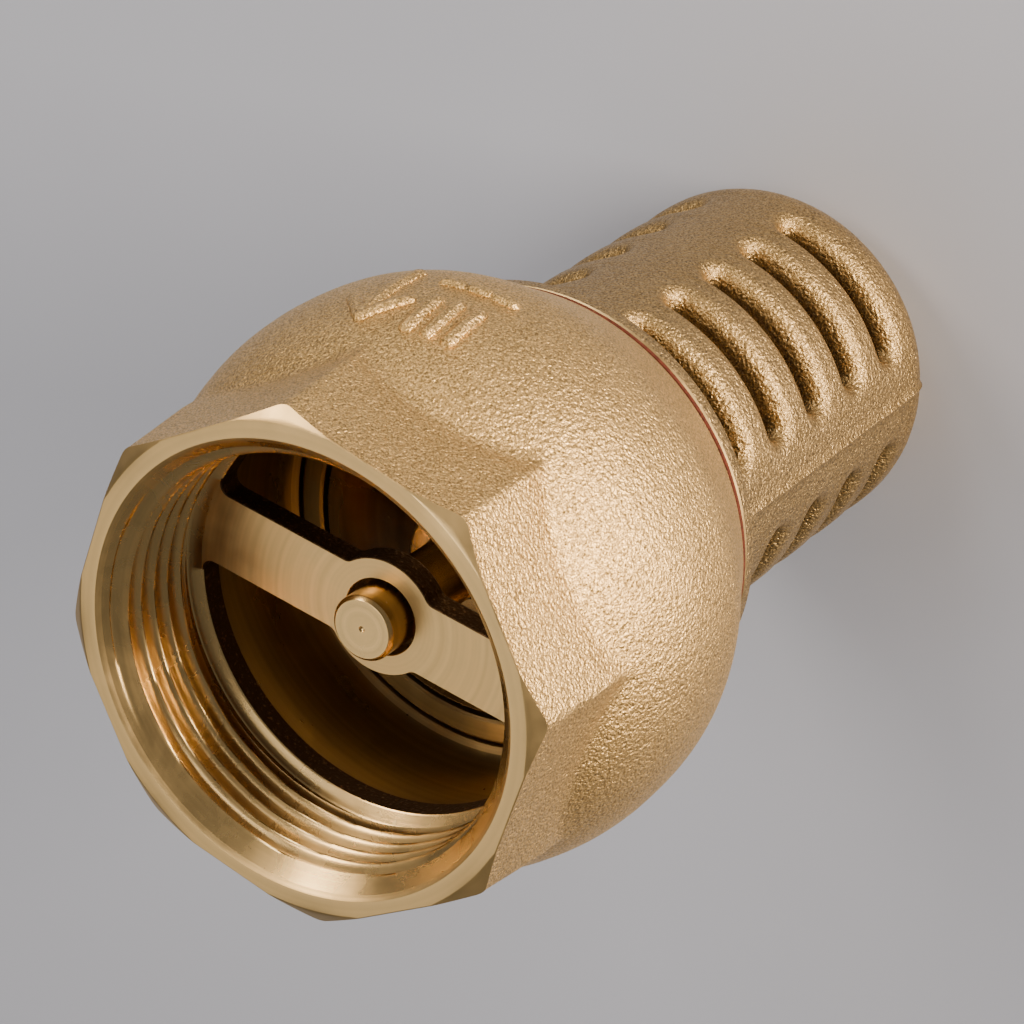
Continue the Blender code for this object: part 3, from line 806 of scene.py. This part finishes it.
def guided_bar(name, quarter, hole, bottom, top, heading, finishes, bands):
    """A flat bar with a round boss and hole. bands: its hole, top, sides and underside."""
    second = [Vector((-p.x, p.y)) for p in reversed(quarter[:-1])]
    upper = quarter + second
    around = upper + [Vector((p.x, -p.y)) for p in reversed(upper[1:-1])]
    rim = [polar(hole, angle, 0.0).xy for angle in full_turn(96)]
    edge, soft = BREAK / 2, BREAK * 2
    hole_wall, top_face, side_wall, underside = bands
    shape = bmesh.new()

    def wall(outline, levels, band):
        loops = []
        for shift, height in levels:
            points = shifted_outwards(outline, shift)
            spun = [Matrix.Rotation(heading, 2) @ point for point in points]
            loops.append([shape.verts.new((*point, height)) for point in spun])
        for first, second in zip(loops, loops[1:]):
            for step in range(len(first)):
                after = (step + 1) % len(first)
                face = shape.faces.new((first[step], second[step], second[after],
                                        first[after]))
                face.material_index = band
        return loops

    sides = wall(around, [(-edge, top), (0.0, top - edge), (0.0, bottom + soft),
                          (-soft * 0.3, bottom + soft * 0.3), (-soft, bottom)], side_wall)
    bore = wall(rim, [(edge, top), (0.0, top - edge), (0.0, bottom + edge), (edge, bottom)],
                hole_wall)
    for level, band in ((0, top_face), (-1, underside)):
        edges = [shape.edges.get((loop[k], loop[k - 1]))
                 for loop in (sides[level], bore[level]) for k in range(len(loop))]
        made = bmesh.ops.triangle_fill(shape, use_beauty=True, edges=edges)["geom"]
        for item in made:
            if isinstance(item, bmesh.types.BMFace):
                item.material_index = band
    return add_piece(name, shape, finishes)


def stroke(path, radius, sides=10):
    """A round bar along a path of points, closed by round ends."""
    # how far along a round end, and how wide it is there
    ends = [(0.0, 0.02), (0.08, 0.38), (0.3, 0.71), (0.62, 0.92)]
    first = (path[1] - path[0]).normalized()
    last = (path[-1] - path[-2]).normalized()
    stations = [(path[0] + first * radius * (along - 1), share) for along, share in ends]
    stations += [(point, 1.0) for point in path]
    stations += [(path[-1] + last * radius * (1 - along), share)
                 for along, share in reversed(ends)]
    rings = []
    for index, (point, share) in enumerate(stations):
        before = stations[max(index - 1, 0)][0]
        after = stations[min(index + 1, len(stations) - 1)][0]
        along = (after - before).normalized()
        out = Vector((point.x, point.y, 0.0)).normalized()
        side = along.cross(out).normalized()
        out = side.cross(along).normalized()
        rings.append([point + (side * math.cos(angle) + out * math.sin(angle)) * radius * share
                      for angle in full_turn(sides)])
    return cap_ends(skin(rings, closed=False), sides)


def globe_point(sizes, angle, drop, sink):
    if drop <= sizes.equator:
        radius = globe_front(sizes, drop)
    else:
        rear = globe_rear(sizes, 60)
        height = MOUTH - drop
        radius = min(rear, key=lambda p: abs(p[1] - height))[0]
    return polar(radius - sink, angle, MOUTH - drop)


MARK_RADIUS = 0.00100        # the marks are round strokes, sunk into the globe
MARK_SINK = 0.00045
ARROW = (((-16, 31.0), (-16, 20.0)), ((-16, 20.0), (-22, 23.8)), ((-16, 20.0), (-10, 23.8)))


def flow_marks(sizes):
    """Raised plain marks: an arrow that points from strainer to mouth, and two rows of bars.

    Each stroke's ends are given in degrees round the globe and millimetres under the mouth.
    """
    lines = [*ARROW]
    lines += [((-27 - 4.6 * number, 19.5), (-27 - 4.6 * number, 25.0)) for number in range(3)]
    lines += [((-24 - 5.5 * number, 29.4), (-27.2 - 5.5 * number, 29.4)) for number in range(3)]
    pieces = []
    for number, (start, end) in enumerate(lines):
        path = [globe_point(sizes, math.radians(angle), drop * MILLIMETRE, MARK_SINK)
                for angle, drop in (*straight(start, end, 8), end)]
        pieces.append(add_piece(f"flow_stroke_{number}", stroke(path, MARK_RADIUS),
                                BODY_FINISHES))
    return pieces


class BuildBody(bpy.types.Operator):
    """Build the cast body with its octagon, globe, thread and guide bridge"""
    bl_idname = "foot_valve.build_body"
    bl_label = "Valve Body"

    def execute(self, context):
        sizes = context.scene.foot_valve_body
        rings, bands = body_rings(sizes)
        body = add_piece("cast_body", skin(rings, bands=bands), BODY_FINISHES)
        bridge_top = MOUTH - sizes.socket_depth
        cut_thread(body, "thread", crest_radius=sizes.bore, depth=sizes.thread_depth,
                   pitch=sizes.thread_pitch, bottom=bridge_top + 12 * BREAK,
                   top=MOUTH + 5 * BREAK, run_out=3 * BREAK, side=1.0)
        outline = bar_outline(sizes.bridge_width / 2, sizes.boss_radius,
                              sizes.bore + SUNK_END, sizes.bore - BREAK, sizes.bridge_fillet)
        bar = guided_bar("guide_bridge", outline, sizes.guide_hole,
                         bridge_top - sizes.bridge_thickness, bridge_top, sizes.bridge_turn,
                         BODY_FINISHES, (THREAD, TURNED, RAW, RAW))
        combine(body, bar)
        for mark in flow_marks(sizes):
            combine(body, mark)
        place_piece(body, "housing", "cast_brass", "valve_body")
        return {"FINISHED"}


# Gasket

class BuildGasket(bpy.types.Operator):
    """Build the fibre gasket between body and strainer"""
    bl_idname = "foot_valve.build_gasket"
    bl_label = "Gasket"

    def execute(self, context):
        outer = node_radius("body_gasket")
        low, high = node_bottom("body_gasket"), node_top("body_gasket")
        inner = outer - context.scene.foot_valve_body.lip_width
        soft = 0.00018
        unevenness, uneven_scale = 0.00008, 260.0
        shape = turned(softened([(outer, low, soft), (outer, high, soft), (inner, high),
                                 (inner, low)]), 192)
        for vert in shape.verts:
            if vert.co.xy.length > (outer + inner) / 2:
                squeezed = unevenness * (0.5 + 0.5 * noise.noise(vert.co * uneven_scale))
                vert.co.xy *= 1.0 - squeezed / vert.co.xy.length
        gasket = add_piece("fibre_gasket", shape, ["fibre"])
        place_piece(gasket, "housing", "gasket_fibre", "body_gasket")
        return {"FINISHED"}


# Strainer

STRAINER_FINISHES = ("strainer", "turned", "raw")
SECTOR_COLUMNS = 48
CELL_SIDE_STEPS = 6
SEAM_STRIP = 0.0004          # half the width of the parting line's ridge
INNER_ROUNDING = 0.0027
LIP_HEIGHT = 0.0008          # raised lip of the seat


def sector_offsets(half, radius):
    """Angles across one sector, with a narrow strip along each of its edges."""
    strip = SEAM_STRIP / radius
    inner = half - strip
    steps = SECTOR_COLUMNS - 2
    return [-half] + [-inner + 2 * inner * step / steps for step in range(steps + 1)] + [half]


def capsule_loop(half_length, radius, straight_steps, round_steps):
    """Points round a slot's outline, from its lower left corner, anticlockwise."""
    points = []
    for side in (1, -1):
        points += straight((-side * half_length, -side * radius),
                           (side * half_length, -side * radius), straight_steps)
        points += arc((side * half_length, 0.0), radius, -side * math.pi / 2,
                      math.pi - side * math.pi / 2, round_steps)[:-1]
    return points


def slot_cell(sizes, pitch):
    """One sector and one row of the basket's wall, with its rounded slot, about height 0."""
    outer, thick = sizes.basket_radius, sizes.wall
    half_sector = math.pi / sizes.columns
    offsets = sector_offsets(half_sector, outer)
    top = pitch / 2
    edge = []
    for step in range(SECTOR_COLUMNS):
        edge.append((offsets[step] * outer, -top))
    for step in range(CELL_SIDE_STEPS):
        edge.append((half_sector * outer, -top + pitch * step / CELL_SIDE_STEPS))
    for step in range(SECTOR_COLUMNS):
        edge.append((offsets[SECTOR_COLUMNS - step] * outer, top))
    for step in range(CELL_SIDE_STEPS):
        edge.append((-half_sector * outer, top - pitch * step / CELL_SIDE_STEPS))

    straight_steps = 40
    round_steps = len(edge) // 2 - straight_steps
    lead = (SECTOR_COLUMNS - straight_steps) // 2
    height = sizes.slot_height / 2
    length = sizes.slot_span / 2 * outer - height

    def slot(grow_by):
        loop = capsule_loop(length, height + grow_by, straight_steps, round_steps)
        return loop[-lead:] + loop[:-lead]

    radius = sizes.slot_rounding
    foot = 2 * BREAK
    side_share = 1 - SEAM_STRIP / (half_sector * outer)
    end_share = 1 - SEAM_STRIP / top
    border = [(across * side_share, up * end_share) for across, up in edge]
    loops = [(edge, 0.0), (border, 0.0)]
    widest = slot(radius)
    for share in (0.35, 0.75):
        loops.append(([(a[0] + (b[0] - a[0]) * share, a[1] + (b[1] - a[1]) * share)
                       for a, b in zip(border, widest)], 0.0))
    arc_steps = 9
    for step in range(arc_steps + 1):
        angle = math.pi / 2 * (1 - step / arc_steps)
        loops.append((slot(radius * (1 - math.cos(angle))), radius * (1 - math.sin(angle))))
    loops += [(slot(0.0), thick - foot), (slot(foot * 0.3), thick - foot * 0.3),
              (slot(foot), thick), (edge, thick)]
    rings = [[polar(outer - depth, across / outer, up) for across, up in loop]
             for loop, depth in loops]
    return skin(rings, closed=False)


def ring_angles(sizes):
    """Angles round the strainer, the same as along the edges of the slot cells."""
    half = math.pi / sizes.columns
    offsets = sector_offsets(half, sizes.basket_radius)
    return [sizes.slot_turn + 2 * half * column + offset
            for column in range(sizes.columns) for offset in offsets[:-1]]


def turned_by(angles, outline, bands):
    """A turned skin over chosen angles. Points on the axis become one."""
    rings = [[polar(radius, angle, height) for angle in angles] for radius, height in outline]
    shape = skin(rings, closed=False, bands=bands)
    bmesh.ops.remove_doubles(shape, verts=shape.verts, dist=FINE)
    return shape


def rounded_end(radius, height, rounding, start, end, steps):
    return arc((radius - rounding, height + rounding), rounding, start, end, steps)


def closed_end(sizes, low):
    """Outside from the slots down to the closed end's middle."""
    wall = rounded_end(sizes.basket_radius, 0.0, sizes.end_rounding, 0.0, -math.pi / 2, 12)
    flat = [(wall[-1][0] * share, 0.0) for share in (0.7, 0.4, 0.15, 0.0)]
    return [(sizes.basket_radius, low)] + wall + flat


def inner_end(sizes, low):
    """Inside from the closed end's middle up to the slots."""
    inner = sizes.basket_radius - sizes.wall
    floor = sizes.floor_thickness
    wall = rounded_end(inner, floor, INNER_ROUNDING, -math.pi / 2, 0.0, 6)
    flat = [(wall[0][0] * share, floor) for share in (0.0, 0.3, 0.65)]
    tail = [(inner, low)] if wall[-1][1] < low - FINE else []
    return flat + wall + tail


def upper_outline(sizes, high):
    """Outside above the slots, over flange and neck, and down the inside to the slots."""
    basket, throat, recess = sizes.basket_radius, sizes.throat, sizes.counterbore
    flange = node_radius("strainer")
    flange_top = node_bottom("body_gasket") - MESH_GAP
    flange_bottom = flange_top - sizes.flange_thickness
    neck = throat + sizes.neck_wall
    seat = NECK_TOP - sizes.seat_depth
    foot = seat - LIP_HEIGHT
    inner = basket - sizes.wall
    cast = bezier((basket, high), (basket, flange_bottom), (basket, flange_bottom),
                  (flange - 2 * BREAK, flange_bottom), 18)
    cast += [(flange - BREAK * 0.6, flange_bottom + BREAK * 0.7),
             (flange, flange_bottom + 2 * BREAK)]
    machined = [
        (flange, flange_top - BREAK), (flange - BREAK, flange_top), (neck + BREAK, flange_top),
        (neck, flange_top + BREAK), (neck, NECK_TOP - 3 * BREAK), (neck - 3 * BREAK, NECK_TOP),
        (recess + MESH_GAP, NECK_TOP), (recess, NECK_TOP - MESH_GAP), (recess, foot + BREAK),
        (recess - BREAK, foot), (throat + 15 * BREAK, foot),
        (throat + 7.5 * BREAK, seat - BREAK / 2), (throat + 6.5 * BREAK, seat),
        (throat + BREAK, seat), (throat, seat - BREAK)]
    inside = [(throat, high + inner - throat), (inner, high)]
    return [(*point, band) for points, band in ((cast, CAST), (machined, TURNED), (inside, CAST))
            for point in points]


class BuildStrainer(bpy.types.Operator):
    """Build the strainer with its rows of soft-edged slots, seat and lower guide"""
    bl_idname = "foot_valve.build_strainer"
    bl_label = "Strainer"

    def execute(self, context):
        sizes = context.scene.foot_valve_strainer
        span = sizes.basket_length - sizes.first_slot - sizes.last_slot
        pitch = span / (sizes.rows - 1)
        low = sizes.last_slot - pitch / 2
        high = low + pitch * sizes.rows
        strainer = add_piece("slotted_strainer", slot_cell(sizes, pitch), STRAINER_FINISHES,
                             outward=False)
        grow(strainer, slotted_wall_tree(), {
            "Rows": sizes.rows, "Columns": sizes.columns, "Pitch": pitch,
            "First Height": sizes.last_slot, "Turn": sizes.slot_turn,
            "Finish": finish_for("strainer")})
        angles = ring_angles(sizes)
        top = upper_outline(sizes, high)
        parts = [turned_by(angles, [p[:2] for p in top], [p[2] for p in top]),
                 turned_by(angles, closed_end(sizes, low), None),
                 turned_by(angles, inner_end(sizes, low), None)]
        shape = bmesh.new()
        shape.from_mesh(strainer.data)
        for part in parts:
            mesh = bpy.data.meshes.new("part")
            part.to_mesh(mesh)
            part.free()
            shape.from_mesh(mesh)
            bpy.data.meshes.remove(mesh)
        bmesh.ops.remove_doubles(shape, verts=shape.verts, dist=FINE * 10)
        self.raise_parting_line(shape, sizes)
        bpy.data.objects.remove(strainer, do_unlink=True)
        strainer = add_piece("slotted_strainer", shape, STRAINER_FINISHES)

        top_height = NECK_TOP - sizes.spider_depth
        inner = sizes.basket_radius - sizes.wall
        outline = bar_outline(sizes.spider_width / 2, sizes.spider_boss, inner + SUNK_END, inner,
                              sizes.spider_fillet)
        spider = guided_bar("lower_guide", outline, sizes.spider_hole,
                            top_height - sizes.spider_thickness, top_height,
                            context.scene.foot_valve_body.bridge_turn, STRAINER_FINISHES,
                            (TURNED, CAST, CAST, CAST))
        combine(strainer, spider)
        place_piece(strainer, "housing", "strainer_brass", "strainer")
        return {"FINISHED"}

    def raise_parting_line(self, shape, sizes):
        """The mould's two halves leave a fine ridge down opposite sides."""
        seam = sizes.slot_turn - math.pi / sizes.columns
        wall = sizes.basket_radius - BREAK / 2
        corner = wall * 0.75
        ridge_top = node_bottom("body_gasket") - MESH_GAP - sizes.flange_thickness
        uneven_scale = 400.0
        for vert in shape.verts:
            out = vert.co.xy.length
            if not FINE < vert.co.z < ridge_top - BREAK / 2:
                continue
            if out < (wall if vert.co.z > sizes.end_rounding else corner):
                continue
            angle = math.atan2(vert.co.y, vert.co.x)
            off = (angle - seam + math.pi / 2) % math.pi - math.pi / 2
            if abs(off) * out < SEAM_STRIP / 8:
                lift = sizes.parting_ridge * (0.7 + 0.6 * noise.noise(vert.co * uneven_scale))
                vert.co.xy *= 1.0 + lift / out


# Poppet

INNER_LAND = 0.006           # flat round the disc's hole
NUT_SIDES = 6
NUT_SLOPE = 0.5              # fall of the nut's turned corners for each unit of radius


def poppet_piece(name, outline, segments, finish, slot, node):
    piece = add_piece(name, turned(outline, segments), [finish])
    return place_piece(piece, "poppet", slot, node)


def shank_hole(context):
    """Radius of the holes that the stem's shank goes through."""
    return context.scene.foot_valve_poppet.shank_radius + MESH_GAP


class BuildStem(bpy.types.Operator):
    """Build the poppet's stem with its collar, thread and guide tail"""
    bl_idname = "foot_valve.build_stem"
    bl_label = "Stem"

    def execute(self, context):
        sizes = context.scene.foot_valve_poppet
        low, high = node_bottom("poppet_stem"), node_top("poppet_stem")
        collar = node_radius("poppet_stem")
        collar_low = node_top("poppet_disc") + MESH_GAP
        collar_top = collar_low + sizes.collar_height
        nut_low = node_bottom("stem_nut")
        washer_top = node_top("lock_washer")
        edge, drill, fine = sizes.edge, sizes.centre_drill, BREAK / 2
        stem, shank, tail = sizes.stem_radius, sizes.shank_radius, sizes.tail_radius
        outline = softened([
            (0.0, high - drill * 1.2), (drill, high), (stem * 0.55, high),
            (stem - edge, high, fine), (stem, high - edge, 1.5 * fine),
            (stem, collar_top + edge, BREAK), (stem + edge, collar_top),
            (collar - edge, collar_top, fine), (collar, collar_top - edge, fine),
            (collar, collar_low + edge / 2, fine), (collar - edge / 2, collar_low),
            (shank + edge / 2, collar_low), (shank, collar_low - edge / 2)])
        outline += straight((shank, washer_top + BREAK), (shank, nut_low - BREAK), 90)
        outline += softened([
            (shank, nut_low - BREAK), (shank - edge / 2, nut_low - edge / 2),
            (tail, nut_low - 2 * edge), (tail, low + edge, fine), (tail - edge, low, fine),
            (0.0, low)])
        piece = add_piece("guided_stem", turned(outline, 96), ["stem"])
        cut_thread(piece, "stem", crest_radius=shank, depth=sizes.shank_thread * 0.45,
                   pitch=sizes.shank_thread, bottom=nut_low - MESH_GAP,
                   top=washer_top + BREAK, run_out=2 * BREAK, side=-1.0)
        place_piece(piece, "poppet", "stem_brass", "poppet_stem")
        return {"FINISHED"}


class BuildDisc(bpy.types.Operator):
    """Build the poppet's disc and the rubber seal under it"""
    bl_idname = "foot_valve.build_disc"
    bl_label = "Disc and Seal"

    def execute(self, context):
        edge = context.scene.foot_valve_poppet.edge
        hole = shank_hole(context)
        radius = node_radius("poppet_disc")
        low, high = node_bottom("poppet_disc"), node_top("poppet_disc")
        poppet_piece("poppet_plate", softened([
            (hole, high), (hole + INNER_LAND, high), (radius * 0.7, high),
            (radius - edge, high, BREAK * 0.75), (radius, high - edge, BREAK * 0.75),
            (radius, low + edge / 2, BREAK / 2), (radius - edge / 2, low), (hole, low)]),
            192, "disc", "disc_brass", "poppet_disc")
        radius = node_radius("seat_seal")
        low, high = node_bottom("seat_seal"), node_top("seat_seal")
        poppet_piece("seat_seal_ring", softened([
            (hole, high), (radius, high, 1.5 * BREAK), (radius, low, 1.5 * BREAK),
            (hole, low)]), 160, "rubber", "seal_rubber", "seat_seal")
        return {"FINISHED"}


class BuildFastening(bpy.types.Operator):
    """Build the washers and the nut that clamp the seal under the disc"""
    bl_idname = "foot_valve.build_fastening"
    bl_label = "Washers and Nut"

    def execute(self, context):
        sizes = context.scene.foot_valve_poppet
        hole = shank_hole(context)
        radius = node_radius("seal_washer")
        low, high = node_bottom("seal_washer"), node_top("seal_washer")
        poppet_piece("clamp_washer", softened([
            (hole, high), (radius, high, BREAK), (radius, low, 1.5 * BREAK),
            (hole, low)]), 128, "nut", "washer_brass", "seal_washer")
        self.build_lock_washer(hole, sizes)
        self.build_nut(hole)
        return {"FINISHED"}

    def build_lock_washer(self, hole, sizes):
        """A split ring of square section."""
        low, high = node_bottom("lock_washer"), node_top("lock_washer")
        outer = hole + sizes.washer_width
        section = softened([(hole, low), (outer, low, BREAK / 2), (outer, high, BREAK / 2),
                            (hole, high)], 3)
        steps = 72
        rings = []
        for step in range(steps + 1):
            share = step / steps
            ring = []
            for radius, height in section:
                start = math.asin(sizes.washer_gap / 2 / radius)
                angle = start + (FULL_TURN - 2 * start) * share
                ring.append(polar(radius, angle, height))
            rings.append(ring)
        shape = cap_ends(skin(rings, closed=False), len(section))
        piece = add_piece("split_washer", shape, ["nut"])
        place_piece(piece, "poppet", "washer_brass", "lock_washer")

    def build_nut(self, hole):
        """A hexagon with its corners turned off at both ends."""
        low, high = NODE_BOXES["stem_nut"]
        wide, deep = high.x - low.x, high.y - low.y
        flat = min(wide, deep) / 2
        side = FULL_TURN / NUT_SIDES
        turned_by_half = side / 2 if wide > deep else 0.0
        corner = flat / math.cos(side / 2)
        crown = flat * 0.97
        fall = (corner - crown) * NUT_SLOPE
        angles = full_turn(NUT_SIDES * 16)
        heights = (low.z, low.z + fall / 2, low.z + fall, high.z - fall, high.z - fall / 2,
                   high.z)
        rings = []
        for height in heights:
            limit = crown + min(height - low.z, high.z - height) / NUT_SLOPE
            offs = [(angle + side / 2 + turned_by_half) % side - side / 2 for angle in angles]
            rings.append([polar(min(flat / math.cos(off), limit), angle, height)
                          for angle, off in zip(angles, offs)])
        edge = 2 * BREAK
        for radius, height in ((hole + edge, high.z), (hole, high.z - edge),
                               (hole, low.z + edge), (hole + edge, low.z)):
            rings.append([polar(radius, angle, height) for angle in angles])
        piece = add_piece("hexagon_nut", skin(rings), ["nut"])
        place_piece(piece, "poppet", "nut_brass", "stem_nut")


# Stage

WARM = (1.0, 0.93, 0.83)
GOLDEN = (1.0, 0.85, 0.66)
# name, azimuth, elevation, distance, width, height, power, colour
LIGHTS = (("key_light", -6, 5, 0.75, 0.42, 0.28, 22.0, GOLDEN),
          ("side_light", 78, 14, 0.80, 0.26, 0.26, 2.1, WARM),
          ("back_light", 196, 50, 0.90, 0.55, 0.45, 0.7, WARM),
          ("rim_light", 108, 39, 0.80, 0.24, 0.24, 2.7, GOLDEN),
          ("overhead_light", 130, 80, 1.0, 0.5, 0.5, 3.6, WARM))
LIGHTS_TARGET = (0.0, 0.0, 0.06)
SKY = (0.90, 0.85, 0.78, 1.0)
SKY_STRENGTH = 0.18
CAMERA_TARGET = (0.0, 0.0047, 0.0542)
CAMERA_PLACE = (15.93, 50.72, 0.4435)   # azimuth, elevation, distance
CAMERA_ROLL = math.radians(-124.2)
LENS = 142.7
SENSOR = 36.0
FLOOR_RADIUS = 1.2


def aim(thing, place, target, roll=0.0):
    """Places a camera or light and points it at the target, then rolls it."""
    look = (Vector(target) - Vector(place)).to_track_quat("-Z", "Y")
    thing.matrix_world = (Matrix.Translation(place) @ look.to_matrix().to_4x4()
                          @ Matrix.Rotation(roll, 4, "Z"))


def around(azimuth, elevation, distance, target):
    """A place seen from the target. Azimuth 0 is towards -Y and 90 towards +X."""
    flat = math.cos(math.radians(elevation))
    return Vector(target) + distance * Vector((
        math.sin(math.radians(azimuth)) * flat, -math.cos(math.radians(azimuth)) * flat,
        math.sin(math.radians(elevation))))


def softbox(name, azimuth, elevation, distance, width, height, power, colour):
    light = bpy.data.lights.new(name, "AREA")
    light.shape = "RECTANGLE"
    light.size, light.size_y = width, height
    light.energy = power
    light.color = colour
    lamp = bpy.data.objects.new(name, light)
    bpy.context.scene.collection.objects.link(lamp)
    aim(lamp, around(azimuth, elevation, distance, LIGHTS_TARGET), LIGHTS_TARGET)
    lamp.visible_camera = False


class BuildStage(bpy.types.Operator):
    """Build the pale floor, the soft lights and the camera"""
    bl_idname = "foot_valve.build_stage"
    bl_label = "Stage"

    def execute(self, context):
        self.build_floor(context)
        self.build_world(context)
        for light in LIGHTS:
            softbox(*light)
        self.build_camera(context)
        return {"FINISHED"}

    def build_floor(self, context):
        shape = bmesh.new()
        bmesh.ops.create_circle(shape, cap_ends=True, radius=FLOOR_RADIUS, segments=96)
        mesh = bpy.data.meshes.new("studio_floor")
        shape.to_mesh(mesh)
        shape.free()
        material, tree, shader, place = new_finish("studio_paper")
        grain = noise_value(tree, place, 30.0, detail=3.0)
        colour = tuple(context.scene.foot_valve_colours.floor)
        set_colour(tree, shader, grain, scaled(colour, 0.98), scaled(colour, 1.02))
        shader.inputs["Roughness"].default_value = 0.75
        mesh.materials.append(material)
        floor = bpy.data.objects.new("studio_floor", mesh)
        context.scene.collection.objects.link(floor)

    def build_world(self, context):
        world = bpy.data.worlds.new("studio")
        world.use_nodes = True
        back = world.node_tree.nodes["Background"]
        back.inputs["Color"].default_value = SKY
        back.inputs["Strength"].default_value = SKY_STRENGTH
        context.scene.world = world

    def build_camera(self, context):
        data = bpy.data.cameras.new("camera")
        data.lens = LENS
        data.sensor_width = SENSOR
        camera = bpy.data.objects.new("camera", data)
        context.scene.collection.objects.link(camera)
        aim(camera, around(*CAMERA_PLACE, CAMERA_TARGET), CAMERA_TARGET, CAMERA_ROLL)
        context.scene.camera = camera


class FootValvePanel(bpy.types.Panel):
    """Sizes, colours and build steps"""
    bl_idname = "VIEW3D_PT_foot_valve"
    bl_label = "Foot Valve"
    bl_space_type = "VIEW_3D"
    bl_region_type = "UI"
    bl_category = "Foot Valve"

    def draw(self, context):
        layout = self.layout
        for step in BUILD_STEPS:
            layout.operator(step.bl_idname)
        for name, kind in GROUPS.items():
            box = layout.box()
            box.label(text=kind.__doc__)
            for key in kind.__annotations__:
                box.prop(getattr(context.scene, name), key)


BUILD_STEPS = (BuildBody, BuildGasket, BuildStrainer, BuildStem, BuildDisc, BuildFastening,
               BuildStage)
GROUPS = {"foot_valve_body": BodySizes, "foot_valve_strainer": StrainerSizes,
          "foot_valve_poppet": PoppetSizes, "foot_valve_colours": FinishColours}


def register():
    for group in (*GROUPS.values(), *BUILD_STEPS, FootValvePanel):
        bpy.utils.register_class(group)
    for name, group in GROUPS.items():
        setattr(bpy.types.Scene, name, bpy.props.PointerProperty(type=group))


def unregister():
    for name in GROUPS:
        delattr(bpy.types.Scene, name)
    for group in (FootValvePanel, *reversed(BUILD_STEPS), *GROUPS.values()):
        bpy.utils.unregister_class(group)


def main():
    register()
    for step in BUILD_STEPS:
        area, name = step.bl_idname.split(".")
        getattr(getattr(bpy.ops, area), name)()


if __name__ == "__main__":
    main()
